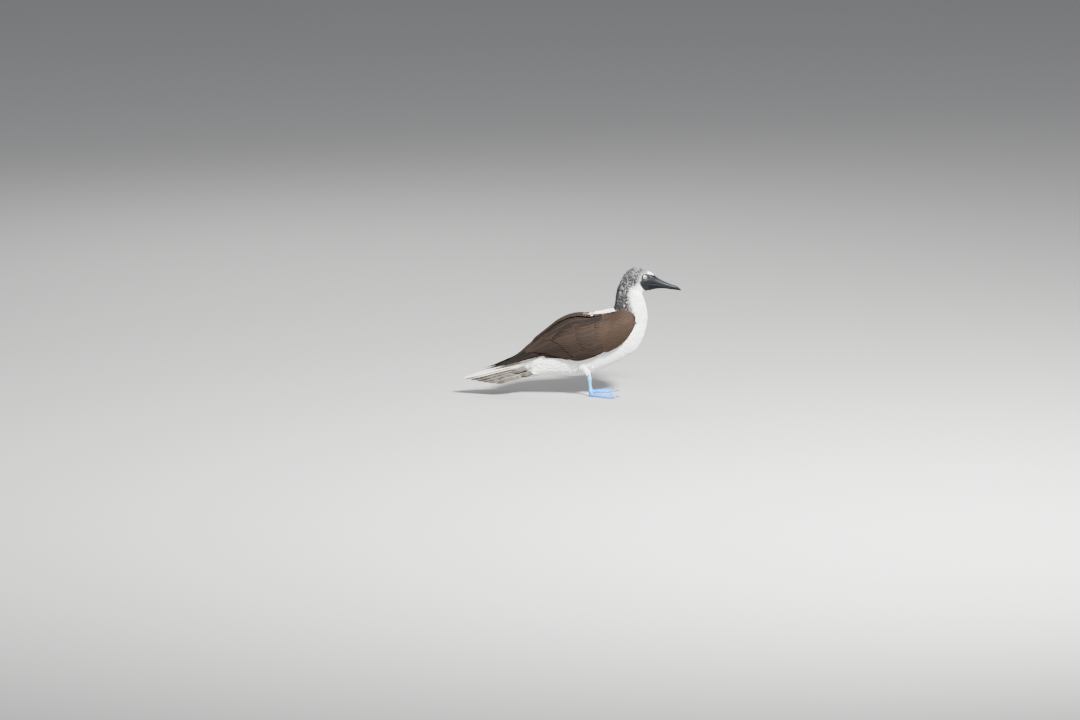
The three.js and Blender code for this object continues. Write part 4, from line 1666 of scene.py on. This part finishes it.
@dataclass
class LegParts:
    """One bare leg: shank, toes and webs in one skin, and its claws."""

    leg: Leg
    voxel: float = 0.75
    smoothing: int = 3
    toe_sides: int = 20
    claw_sides: int = 16
    toe_reach: float = 0.97
    toe_radii: tuple = (4.3, 2.8)
    joints: tuple = (0.1, 0.42, 0.72)

    def __post_init__(self) -> None:
        self.root = np.array([self.leg.foot_x, self.leg.side * self.leg.half_stance, 0.0])
        self.headings = [self.leg.side * math.radians(TURN_OUT + toe[0]) for toe in TOES]

    def toe_rings(self, heading: float, length: float) -> ndarray:
        """One toe's rings, with its joints and the plates along its top.

        Args:
            heading: the toe's direction.
            length: its length.

        Returns:
            The rings' points.
        """
        ahead = level(heading)
        across = np.array([-ahead[1], ahead[0], 0])
        t = np.linspace(-0.05, 1.0, 70)
        thick, thin = self.toe_radii
        base = thick + (thin - thick) * np.clip(t, 0, 1)
        joints = sum(0.13 * np.exp(-(((t - place) / 0.06) ** 2)) for place in self.joints)
        plates = 0.035 * np.abs(np.sin(t * length * 0.9))
        tip = np.sqrt(np.maximum(1 - smoothstep(0.93, 1.0, t) * 0.62, 0.05))
        radius = base * (0.9 + joints + plates) * tip
        turn = turns(self.toe_sides)
        return np.stack(
            [
                self.root
                + ahead * (length * place)
                + across * (r * np.sin(turn))[:, None]
                + np.array([0, 0, 1.0]) * (r * 0.8 + r * np.cos(turn))[:, None]
                for place, r in zip(t, radius)
            ]
        )

    def toe_end(self, index: int, share: float) -> ndarray:
        """The place on the floor at a share of one toe's length."""
        return self.root[:2] + TOES[index][1] * share * level(self.headings[index])[:2]

    def web(self) -> tuple[ndarray, list]:
        """The skin between the toes, hollowed between one toe's tip and the next.

        Returns:
            Its points and faces, as a closed plate.
        """
        outline = []
        for i in range(len(TOES) - 1):
            ends = [self.toe_end(k, self.toe_reach) for k in (i, i + 1)]
            hollow = (ends[0] + ends[1]) / 2
            hollow = hollow + (self.root[:2] - hollow) * 0.2
            for t in np.linspace(0, 1, 26)[(0 if i == 0 else 1):]:
                outline.append((1 - t) ** 2 * ends[0] + 2 * t * (1 - t) * hollow + t**2 * ends[1])
        rim = np.array(outline)
        shares = np.linspace(0.06, 1, 30)
        top, low = [], []
        for share in shares:
            flat = self.root[:2] + (rim - self.root[:2]) * share
            fold = 0.22 * np.sin(np.arange(len(rim)) * 0.9)
            height = 2.5 - 0.7 * share + fold * share + 2.2 * (1 - share) ** 3
            top.append(np.column_stack([flat, height]))
            low.append(np.column_stack([flat, np.full(len(rim), 0.5)]))
        rings = np.concatenate([np.array(top), np.array(low)[:, ::-1]], 1)
        return closed_loft(rings)

    def shank_rings(self) -> ndarray:
        """The shank's rings, from the feathered ankle to the foot.

        Returns:
            The rings' points.
        """
        leg = self.leg
        y = leg.side * leg.half_stance
        dx = leg.foot_x - leg.ankle_x
        top = leg.ankle_z + 4
        drop = leg.foot_z - top
        spots = [(leg.ankle_x + dx * t, y, max(top + drop * t, 1.0), r) for t, r in SHANK_STOPS]
        return level_rings(smooth_spots(spots, 60), 28, 0.8)

    def build_skin(self) -> Object:
        """The bare skin of shank and foot as one piece.

        Returns:
            Its piece.
        """
        parts = MeshParts()
        parts.add(*closed_loft(self.shank_rings()))
        for heading, (_, length, _) in zip(self.headings, TOES):
            parts.add(*closed_loft(self.toe_rings(heading, length)))
        parts.add(*self.web())
        points, normals, quads = remeshed(parts, f"leg_{self.leg.label}", self.voxel, self.smoothing)
        scales = np.abs(np.sin(points[:, 2] * 1.35 + 0.6 * np.sin(points[:, 0])))
        front = smoothstep(0.2, 0.7, normals[:, 0]) * smoothstep(12, 18, points[:, 2])
        points = points + normals * (0.16 * scales * front)[:, None]
        points[:, 2] = np.maximum(points[:, 2], 0.02)
        skin = MeshParts()
        skin.add(points, [quads], {"high": points[:, 2], "toe": self.toe_share(points)})
        return skin.build(f"leg_{self.leg.label}")

    def toe_share(self, points: ndarray) -> ndarray:
        """How close each point lies to a toe's middle line.

        Args:
            points: the skin's points.

        Returns:
            Shares, 1 on a middle line and 0 out on the web.
        """
        best = np.full(len(points), 1e9)
        for heading, (_, length, _) in zip(self.headings, TOES):
            ahead = level(heading)[:2]
            off = points[:, :2] - self.root[:2]
            share = np.clip(off @ ahead, 0, length)
            best = np.minimum(best, np.linalg.norm(off - share[:, None] * ahead, axis=1))
        return 1 - smoothstep(2.0, 5.0, best)

    def build_claws(self) -> Object:
        """The claws of one foot as one piece.

        Returns:
            Their piece.
        """
        parts = MeshParts()
        turn = turns(self.claw_sides)
        up = np.array([0, 0, 1])
        for heading, (_, length, claw) in zip(self.headings, TOES):
            ahead = level(heading)
            across = np.array([-ahead[1], ahead[0], 0])
            rings = []
            for t in np.linspace(-0.35, 1, 22):
                radius = 1.75 * (1 - max(t, 0)) ** 0.75 + 0.12
                centre = self.root + ahead * (length - 1.0 + claw * t)
                height = 3.0 + 0.9 * math.sin(math.pi * min(max(t + 0.2, 0), 1)) - 2.4 * max(t, 0) ** 2
                centre = centre + np.array([0, 0, max(height, radius + 0.05)])
                wide = across * (radius * 0.8 * np.sin(turn))[:, None]
                rings.append(centre + wide + up * (radius * np.cos(turn))[:, None])
            parts.add(*closed_loft(np.array(rings)))
        return parts.build(f"claws_{self.leg.label}")


# The number of a mix node's two colour inputs and of its colour output.
MIX_COLOURS = (6, 7)
MIX_RESULT = 2


class Nodes:
    """A short hand for laying out a material's or a group's nodes."""

    def __init__(self, tree: NodeTree) -> None:
        self.tree = tree

    def fill(self, node: Node, inputs: dict) -> Node:
        """Links sockets to a node's inputs, or sets the inputs' values.

        Args:
            node: the node.
            inputs: values or sockets for its inputs, by name or number.

        Returns:
            The node.
        """
        for key, value in inputs.items():
            if isinstance(value, NodeSocket):
                self.tree.links.new(value, node.inputs[key])
            else:
                node.inputs[key].default_value = value
        return node

    def add(self, kind: str, inputs: dict, **settings: object) -> Node:
        """Adds a node.

        Args:
            kind: the node's type without its prefix.
            inputs: values or sockets for its inputs, by name or number.
            settings: the node's own properties.

        Returns:
            The node.
        """
        node = self.tree.nodes.new("ShaderNode" + kind)
        for name, value in settings.items():
            setattr(node, name, value)
        return self.fill(node, inputs)

    def group(self, tree: NodeTree, inputs: dict) -> dict:
        """Places a shared effect with its own values, and gives its results by name."""
        node = self.add("Group", inputs, node_tree=tree)
        return {output.name: output for output in node.outputs}

    def barbs(self, tree: NodeTree, fineness: float, fringe: float) -> dict:
        """Places a feather's barbs, and gives their results by name."""
        own = {name: self.value(name.lower()) for name in ("Along", "Across", "Chance")}
        return self.group(tree, {**own, "Fineness": fineness, "Fringe": fringe})

    def math(self, operation: str, a: object, b: object = 0.0, clamp: bool = False) -> NodeSocket:
        """A value worked out of one or two values."""
        return self.add("Math", {0: a, 1: b}, operation=operation, use_clamp=clamp).outputs[0]

    def plus(self, a: object, b: object, clamp: bool = False) -> NodeSocket:
        """The sum of two values."""
        return self.math("ADD", a, b, clamp)

    def minus(self, a: object, b: object) -> NodeSocket:
        """The first value less the second."""
        return self.math("SUBTRACT", a, b)

    def times(self, a: object, b: object) -> NodeSocket:
        """The product of two values."""
        return self.math("MULTIPLY", a, b)

    def mix(self, share: object, a: object, b: object) -> NodeSocket:
        """A colour between two."""
        ends = [c if isinstance(c, NodeSocket) else (*c, 1.0) for c in (a, b)]
        ends = dict(zip(MIX_COLOURS, ends))
        return self.add("Mix", {"Factor": share, **ends}, data_type="RGBA").outputs[MIX_RESULT]

    def value(self, name: str) -> NodeSocket:
        """A number that the mesh carries at each point."""
        return self.add("Attribute", {}, attribute_name=name).outputs["Fac"]

    def place(self) -> NodeSocket:
        """The place on the object, in metres."""
        return self.add("TexCoord", {}).outputs["Object"]

    def ramp(self, value: object, low: object, high: float) -> NodeSocket:
        """A soft step from 0 at low to 1 at high."""
        inputs = {"Value": value, "From Min": low, "From Max": high}
        return self.add("MapRange", inputs, interpolation_type="SMOOTHSTEP").outputs[0]


class Effect(Nodes):
    """A shader node group in the making."""

    def __init__(self, name: str, inputs: dict, outputs: tuple) -> None:
        super().__init__(bpy.data.node_groups.new(name, "ShaderNodeTree"))
        for key, value in inputs.items():
            socket = self.tree.interface.new_socket(key, in_out="INPUT", socket_type="NodeSocketFloat")
            socket.default_value = value
        for key in outputs:
            self.tree.interface.new_socket(key, in_out="OUTPUT", socket_type="NodeSocketFloat")
        self.start = self.tree.nodes.new("NodeGroupInput")
        self.end = self.tree.nodes.new("NodeGroupOutput")

    def given(self, name: str) -> NodeSocket:
        """One of the group's inputs."""
        return self.start.outputs[name]

    def finish(self, results: dict) -> NodeTree:
        """Gives out the group's results by name."""
        self.fill(self.end, results)
        return self.tree


class Coating(Nodes):
    """A material in the making."""

    def __init__(self, name: str) -> None:
        self.material = bpy.data.materials.new(name)
        self.material.use_nodes = True
        super().__init__(self.material.node_tree)
        self.shader = self.tree.nodes["Principled BSDF"]

    def finish(self, inputs: dict, relief: tuple | None = None) -> Material:
        """Fills the shader's inputs and raises fine relief on its normal.

        Args:
            inputs: values or sockets for the shader's inputs.
            relief: the relief's height, its distance and its strength.

        Returns:
            The material.
        """
        self.fill(self.shader, inputs)
        if relief:
            bump = self.add("Bump", dict(zip(("Height", "Distance", "Strength"), relief)))
            self.fill(self.shader, {"Normal": bump.outputs[0]})
        return self.material


@dataclass(frozen=True)
class SharedEffects:
    """Effects that several finishes use, each a node group."""

    barbs: NodeTree
    mottle: NodeTree
    scales: NodeTree

    @staticmethod
    def make() -> "SharedEffects":
        """Builds the groups once."""
        return SharedEffects(make_barbs(), make_mottle(), make_scales())


def make_barbs() -> NodeTree:
    """Fine slanting barbs each side of a feather's shaft, the shaft and the pale fringe.

    Returns:
        The group.
    """
    inputs = {"Along": 0.0, "Across": 0.0, "Chance": 0.0, "Fineness": 60.0, "Fringe": 0.8}
    n = Effect("feather_barbs", inputs, ("Barbs", "Shaft", "Edge", "Height"))
    side = n.math("ABSOLUTE", n.given("Across"))
    slant = n.minus(n.given("Along"), n.times(side, 0.12))
    spot = (n.times(slant, n.given("Fineness")), n.times(side, 1.5), n.times(n.given("Chance"), 37.0))
    where = n.add("CombineXYZ", dict(enumerate(spot))).outputs[0]
    noise = {"Vector": where, "Scale": 1.0, "Detail": 3.0, "Roughness": 0.6}
    barbs = n.add("TexNoise", noise).outputs[0]
    shaft = n.minus(1.0, n.ramp(side, 0.03, 0.09))
    ragged = n.plus(side, n.times(n.minus(barbs, 0.5), 0.25))
    tip = n.ramp(n.given("Along"), 0.93, 1.0)
    rim = n.math("MAXIMUM", n.ramp(ragged, n.given("Fringe"), 1.0), tip)
    height = n.plus(n.times(barbs, 0.6), n.times(shaft, 0.5))
    return n.finish({"Barbs": barbs, "Shaft": shaft, "Edge": rim, "Height": height})


def make_mottle() -> NodeTree:
    """Fine unevenness over a surface."""
    n = Effect("fine_mottle", {"Scale": 60.0}, ("Fine",))
    noise = {"Vector": n.place(), "Scale": n.times(n.given("Scale"), 9.0), "Detail": 3.0}
    return n.finish({"Fine": n.add("TexNoise", noise).outputs[0]})


def make_scales() -> NodeTree:
    """Small rounded scales with thin grooves between them."""
    n = Effect("small_scales", {"Scale": 700.0}, ("Height", "Groove"))
    inputs = {"Vector": n.place(), "Scale": n.given("Scale")}
    cells = n.add("TexVoronoi", inputs, feature="DISTANCE_TO_EDGE").outputs[0]
    groove = n.minus(1.0, n.ramp(cells, 0.02, 0.16))
    return n.finish({"Height": n.ramp(cells, 0.0, 0.35), "Groove": groove})


FACE_COLOUR = (0.0080, 0.0090, 0.0108)


@dataclass(frozen=True)
class PlumeFinish:
    """The small feathers of head, neck and body."""

    white: tuple = (0.90, 0.89, 0.87)
    shade: tuple = (0.78, 0.765, 0.73)
    streak: tuple = (0.018, 0.0185, 0.021)
    brown: tuple = (0.055, 0.043, 0.034)
    brown_rim: tuple = (0.30, 0.26, 0.22)
    face_light: float = 1.8

    def make(self, effects: SharedEffects) -> Material:
        """Builds the material for feathers.

        Args:
            effects: the shared effects.

        Returns:
            The material.
        """
        n = Coating("plumage")
        barbs = n.barbs(effects.barbs, 26.0, 0.7)
        fibre = barbs["Barbs"]
        reach = n.minus(1.36, n.times(n.value("along"), 0.70))
        band = n.times(n.value("streak"), reach)
        side = n.math("ABSOLUTE", n.value("across"))
        ragged = n.plus(side, n.times(n.minus(fibre, 0.5), 0.9))
        mask = n.ramp(n.minus(band, ragged), -0.12, 0.14)
        shaded = n.plus(n.times(n.value("chance"), 0.3), n.times(n.ramp(fibre, 0.4, 0.7), 0.4))
        tone = n.mix(shaded, self.white, self.shade)
        brown_tone = n.mix(n.times(barbs["Edge"], 0.35), self.brown, self.brown_rim)
        ground = n.mix(n.value("brown"), tone, brown_tone)
        inputs = {
            "Base Color": n.mix(mask, ground, self.streak),
            "Roughness": n.plus(0.72, n.times(fibre, 0.2)),
            "Sheen Weight": 0.15,
            "Sheen Roughness": 0.5,
            "Specular IOR Level": 0.25,
        }
        return n.finish(inputs, (barbs["Height"], 0.0003, 0.8))

    def make_skin(self, effects: SharedEffects, face: tuple) -> Material:
        """Builds the material for the skin under the feathers and the bare face.

        Args:
            effects: the shared effects.
            face: the bare face's colour.

        Returns:
            The material.
        """
        n = Coating("skin")
        fine = n.group(effects.mottle, {"Scale": 90.0})["Fine"]
        scales = n.group(effects.scales, {"Scale": 900.0})
        coat = n.mix(n.times(n.value("streak"), 0.75), self.white, self.streak)
        coat = n.mix(n.value("brown"), coat, self.brown)
        tint = n.mix(n.ramp(fine, 0.3, 0.7), face, tuple(self.face_light * c for c in face))
        bare = n.value("bare")
        inputs = {
            "Base Color": n.mix(bare, coat, tint),
            "Roughness": n.minus(0.85, n.times(bare, 0.38)),
            "Specular IOR Level": 0.25,
        }
        return n.finish(inputs, (n.times(n.plus(scales["Height"], fine), bare), 0.00025, 0.6))


@dataclass(frozen=True)
class WingFinish:
    """The wing's brown feathers with their paler edges."""

    dark: tuple = (0.0075, 0.0065, 0.0065)
    middle: tuple = (0.024, 0.0170, 0.0130)
    warm: tuple = (0.056, 0.0345, 0.0215)
    fringe: tuple = (0.100, 0.075, 0.054)
    white: tuple = (0.80, 0.75, 0.71)

    def make(self, effects: SharedEffects) -> Material:
        """Builds the material.

        Args:
            effects: the shared effects.

        Returns:
            The material.
        """
        n = Coating("wing_feathers")
        barbs = n.barbs(effects.barbs, 95.0, 0.74)
        fibre, tone, pale = barbs["Barbs"], n.value("tone"), n.value("pale")
        base = n.mix(n.ramp(tone, 0.0, 0.55), self.dark, self.middle)
        base = n.mix(n.times(n.ramp(tone, 0.6, 1.0), 0.85), base, self.warm)
        worn = n.times(n.minus(n.value("chance"), 0.45), 0.55)
        base = n.mix(n.math("MAXIMUM", worn, 0.0), base, self.warm)
        base = n.mix(n.times(n.ramp(fibre, 0.35, 0.7), 0.35), base, self.dark)
        rim = n.times(barbs["Edge"], n.plus(0.12, n.times(tone, 0.6)))
        base = n.mix(rim, base, self.fringe)
        base = n.mix(n.times(barbs["Shaft"], 0.6), base, self.dark)
        side = n.math("ABSOLUTE", n.value("across"))
        heart = n.plus(n.plus(side, n.times(n.minus(fibre, 0.5), 0.4)), n.times(pale, 1.3))
        base = n.mix(n.times(n.ramp(heart, 0.62, 1.05), n.ramp(pale, 0.0, 0.2)), base, self.white)
        inputs = {
            "Base Color": base,
            "Roughness": n.plus(0.6, n.times(fibre, 0.25)),
            "Specular IOR Level": 0.16,
            "Sheen Weight": 0.02,
        }
        return n.finish(inputs, (barbs["Height"], 0.0003, 0.9))


@dataclass(frozen=True)
class TailFinish:
    """The tail's feathers, whitish in the middle and grey-brown outside."""

    white: tuple = (0.74, 0.70, 0.63)
    brown: tuple = (0.040, 0.033, 0.027)

    def make(self, effects: SharedEffects) -> Material:
        """Builds the material.

        Args:
            effects: the shared effects.

        Returns:
            The material.
        """
        n = Coating("tail_feathers")
        barbs = n.barbs(effects.barbs, 120.0, 0.8)
        fan = n.value("fan")
        outer = n.times(n.ramp(fan, 0.0, 0.32), 0.95)
        towards_tip = n.times(n.ramp(n.value("along"), 0.7, 1.0), 0.35)
        share = n.plus(outer, n.times(towards_tip, n.ramp(fan, -0.1, 0.1)), clamp=True)
        streaky = n.times(n.minus(barbs["Barbs"], 0.5), 0.9)
        share = n.plus(share, n.times(streaky, n.ramp(fan, -0.1, 0.3)), clamp=True)
        colour = n.mix(share, self.white, self.brown)
        colour = n.mix(n.times(barbs["Edge"], 0.22), colour, self.white)
        inputs = {
            "Base Color": n.mix(n.times(barbs["Shaft"], 0.2), colour, self.white),
            "Roughness": n.plus(0.55, n.times(barbs["Barbs"], 0.25)),
            "Specular IOR Level": 0.15,
        }
        return n.finish(inputs, (barbs["Height"], 0.0003, 0.8))


@dataclass(frozen=True)
class HornFinish:
    """The bill's slate-grey horn, with a painted sheen along the top near its base."""

    slate: tuple = (0.0050, 0.0060, 0.0072)
    # The paler ridge colour is a painted sheen along the top of the bill near its base. It is also the
    # light end of the horn's fine unevenness.
    ridge: tuple = (0.040, 0.050, 0.061)
    tip: tuple = (0.0025, 0.0028, 0.0032)

    def make(self, effects: SharedEffects) -> Material:
        """Builds the material.

        Args:
            effects: the shared effects.

        Returns:
            The material.
        """
        n = Coating("bill_horn")
        length = n.value("length")
        fine = n.group(effects.mottle, {"Scale": 120.0})["Fine"]
        # Painted sheen: the top of the upper mandible is lighter from about a tenth to about half its
        # length.
        ridge = n.times(n.ramp(n.value("height"), 0.78, 1.0), n.minus(1.0, n.ramp(length, 0.3, 0.6)))
        ridge = n.times(ridge, n.ramp(length, 0.1, 0.3))
        colour = n.mix(n.times(ridge, 0.8), self.slate, self.ridge)
        colour = n.mix(n.ramp(length, 0.72, 1.0), colour, self.tip)
        # Painted shade: the side grooves and plates are darkened towards the near-black of the tip.
        colour = n.mix(n.times(n.value("groove"), 0.6), colour, self.tip)
        colour = n.mix(n.times(n.ramp(fine, 0.45, 0.75), 0.1), colour, self.ridge)
        inputs = {
            "Base Color": n.mix(n.ramp(length, -0.14, 0.1), FACE_COLOUR, colour),
            "Roughness": n.plus(0.32, n.times(fine, 0.25)),
            "Specular IOR Level": 0.22,
        }
        return n.finish(inputs, (fine, 0.00015, 0.5))


@dataclass(frozen=True)
class EyeFinish:
    """The pale yellow iris, the black pupil and the dark rim, under a clear front."""

    iris: tuple = (0.86, 0.81, 0.60)
    inner: tuple = (0.62, 0.52, 0.27)
    rim: tuple = (0.02, 0.017, 0.014)
    pupil: tuple = (0.003, 0.003, 0.003)
    pupil_edge: float = 0.43
    iris_edge: float = 0.80

    def make(self) -> Material:
        """Builds the material.

        Returns:
            The material.
        """
        n = Coating("eye")
        polar = n.value("polar")
        noise = n.add("TexNoise", {"Vector": n.place(), "Scale": 1400.0, "Detail": 4.0}).outputs[0]
        flecks = n.times(n.plus(noise, n.times(n.value("spoke"), 0.3)), 0.6)
        colour = n.mix(flecks, self.iris, self.inner)
        colour = n.mix(n.ramp(polar, self.iris_edge - 0.06, self.iris_edge + 0.03), colour, self.rim)
        colour = n.mix(n.ramp(polar, self.pupil_edge, self.pupil_edge + 0.03), self.pupil, colour)
        inputs = {"Base Color": colour, "Roughness": 0.25, "Coat Weight": 1.0, "Coat Roughness": 0.02}
        return n.finish(inputs)


@dataclass(frozen=True)
class BlueSkinFinish:
    """The scaly blue skin of shanks, toes and webs."""

    shank: tuple = (0.13, 0.46, 0.68)
    web: tuple = (0.012, 0.13, 0.57)
    toe: tuple = (0.035, 0.26, 0.70)
    # The dark colour between the scales is painted shade in the grooves.
    groove: tuple = (0.01, 0.10, 0.30)
    worn: tuple = (0.45, 0.68, 0.80)

    def make(self, effects: SharedEffects) -> Material:
        """Builds the material.

        Args:
            effects: the shared effects.

        Returns:
            The material.
        """
        n = Coating("blue_skin")
        fine = n.group(effects.mottle, {"Scale": 70.0})["Fine"]
        scales = n.group(effects.scales, {"Scale": 620.0})
        colour = n.mix(n.value("toe"), self.web, self.toe)
        colour = n.mix(n.ramp(n.value("high"), 8.0, 20.0), colour, self.shank)
        # Painted shade in the grooves between the scales.
        colour = n.mix(n.times(scales["Groove"], 0.35), colour, self.groove)
        colour = n.mix(n.times(n.ramp(fine, 0.5, 0.8), 0.2), colour, self.worn)
        inputs = {"Base Color": colour, "Roughness": n.plus(0.38, n.times(fine, 0.25))}
        return n.finish(inputs, (scales["Height"], 0.0003, 0.7))


@dataclass(frozen=True)
class PlainFinish:
    """A finish of one tone with a little unevenness, such as lids and claws."""

    name: str
    colour: tuple
    light: tuple
    roughness: float
    relief: float

    def make(self, effects: SharedEffects) -> Material:
        """Builds the material.

        Args:
            effects: the shared effects.

        Returns:
            The material.
        """
        n = Coating(self.name)
        fine = n.group(effects.mottle, {"Scale": 200.0})["Fine"]
        inputs = {
            "Base Color": n.mix(n.ramp(fine, 0.35, 0.75), self.colour, self.light),
            "Roughness": n.plus(self.roughness - 0.1, n.times(fine, 0.2)),
        }
        return n.finish(inputs, (fine, self.relief, 0.6))


@dataclass
class Studio:
    """The floor, the light and the camera."""

    distance: float = 24.0
    sensor: float = 36.0
    floor_reach: float = 60000.0
    floor_colour: tuple = (0.34, 0.335, 0.325, 1)
    sky_colour: tuple = (0.90, 0.93, 1.0, 1)
    sky_strength: float = 0.42
    lamps: tuple = (
        ("key", (1.4, -2.5, 2.7), 0.7, 640.0),
        ("fill", (-2.8, -1.8, 1.6), 2.4, 30.0),
        ("rim", (-0.8, 2.6, 2.4), 1.8, 50.0),
    )
    aim: tuple = (0, 0, 0.17)

    def build(self) -> None:
        """Sets up the stage."""
        self.build_camera()
        self.build_floor()
        self.build_lights()

    def build_camera(self) -> None:
        """Places the camera at the photo's viewing angle and framing."""
        elevation = math.radians(PHOTO_ELEVATION)
        scale = PHOTO_MM_PER_PIXEL * MM
        width = PHOTO_SIZE[0] * PHOTO_MM_PER_PIXEL * MM
        aim_x = (PHOTO_SIZE[0] / 2 - PHOTO_ORIGIN_PIXEL[0]) * scale
        aim_z = (PHOTO_ORIGIN_PIXEL[1] - PHOTO_SIZE[1] / 2) * scale / math.cos(elevation)
        camera = bpy.data.objects.new("camera", bpy.data.cameras.new("camera"))
        bpy.context.scene.collection.objects.link(camera)
        back = Vector((0, -math.cos(elevation), math.sin(elevation)))
        camera.location = Vector((aim_x, 0, aim_z)) + back * self.distance
        camera.rotation_mode = "QUATERNION"
        camera.rotation_quaternion = (-back).to_track_quat("-Z", "Y")
        camera.data.sensor_width = self.sensor
        camera.data.lens = self.sensor * self.distance / width
        camera.data.clip_end = 200
        bpy.context.scene.camera = camera

    def build_floor(self) -> None:
        """Lays a plain pale floor."""
        parts = MeshParts()
        corners = np.array([[-1, -1, 0], [1, -1, 0], [1, 1, 0], [-1, 1, 0]]) * self.floor_reach
        parts.add(corners, [np.array([[0, 1, 2, 3]])])
        floor = parts.build("floor", smooth=False)
        material = Coating("floor").finish({"Base Color": self.floor_colour, "Roughness": 0.85})
        floor.data.materials.append(material)

    def build_lights(self) -> None:
        """Hangs a large soft key light, a fill and an even sky."""
        for name, place, size, power in self.lamps:
            data = bpy.data.lights.new(name, "AREA")
            data.size = size
            data.energy = power
            lamp = bpy.data.objects.new(name, data)
            lamp.location = place
            aim = Vector(self.aim) - Vector(place)
            lamp.rotation_mode = "QUATERNION"
            lamp.rotation_quaternion = aim.to_track_quat("-Z", "Y")
            bpy.context.scene.collection.objects.link(lamp)
        world = bpy.data.worlds.new("studio")
        world.use_nodes = True
        sky = world.node_tree.nodes["Background"]
        sky.inputs["Color"].default_value = self.sky_colour
        sky.inputs["Strength"].default_value = self.sky_strength
        bpy.context.scene.world = world
        bpy.context.scene.view_settings.look = "AgX - Medium High Contrast"


class Booby:
    """The whole bird, piece by piece."""

    def __init__(self) -> None:
        self.effects = SharedEffects.make()

    def dress(self, piece: Object, material: Material, nodes: tuple = ()) -> None:
        """Gives a piece its finish and its place on the frame.

        Args:
            piece: the piece.
            material: its finish.
            nodes: the solids that it stands for.
        """
        piece.data.materials.clear()
        piece.data.materials.append(material)
        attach(piece, BODY)
        if nodes:
            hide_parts(*nodes)
        LOG.info("%s: %d faces", piece.name, len(piece.data.polygons))

    def build_plumage(self) -> None:
        """The skin and its small feathers."""
        plumage = Plumage()
        finish = PlumeFinish()
        skin = plumage.build_skin()
        flesh = ("torso", "neck", "head", "thigh_left", "thigh_right")
        self.dress(skin, finish.make_skin(self.effects, FACE_COLOUR), flesh)
        coat = finish.make(self.effects)
        for name, piece in plumage.build_coat().items():
            self.dress(piece, coat)

    def build_wings(self) -> None:
        """Both folded wings."""
        material = WingFinish().make(self.effects)
        for side in BOTH:
            wing = Wing(side)
            self.dress(wing.build_body(), material, (f"wing_{wing.label}",))
            if side > 0:
                self.dress(Mantle(wing).build(), material)
            for piece in wing.build_tiers().values():
                self.dress(piece, material)

    def build_tail(self) -> None:
        """The tail's feathers."""
        material = TailFinish().make(self.effects)
        for name, piece in Tail().build().items():
            self.dress(piece, material, ("tail",) if name == "tail_rectrices" else ())

    def build_bill(self) -> None:
        """Both mandibles."""
        material = HornFinish().make(self.effects)
        for upper, node in ((True, "bill_upper"), (False, "bill_lower")):
            self.dress(Bill().mandible(upper), material, (node,))

    def build_eyes(self) -> None:
        """Eyeballs and lids."""
        ball = EyeFinish().make()
        lids = PlainFinish("lids", (0.0075, 0.0085, 0.0105), (0.014, 0.016, 0.020), 0.5, 0.0002)
        lids = lids.make(self.effects)
        maker = EyeParts()
        for side in BOTH:
            self.dress(maker.ball(side), ball, (f"eye_{SIDE_NAMES[side]}",))
            self.dress(maker.lids(side), lids)

    def build_legs(self) -> None:
        """Shanks, feet and claws."""
        skin = BlueSkinFinish().make(self.effects)
        claw = PlainFinish("claws", (0.05, 0.055, 0.06), (0.20, 0.21, 0.22), 0.4, 0.0001)
        claw = claw.make(self.effects)
        for leg in LEGS:
            maker = LegParts(leg)
            nodes = (f"tarsus_{leg.label}", f"foot_{leg.label}")
            self.dress(maker.build_skin(), skin, nodes)
            self.dress(maker.build_claws(), claw)


def main() -> None:
    """Builds the bird and the studio."""
    logging.basicConfig(level=logging.INFO, format="%(name)s %(message)s")
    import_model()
    Studio().build()
    bird = Booby()
    bird.build_plumage()
    bird.build_wings()
    bird.build_tail()
    bird.build_bill()
    bird.build_eyes()
    bird.build_legs()
    bpy.context.view_layer.update()


if __name__ == "__main__":
    main()
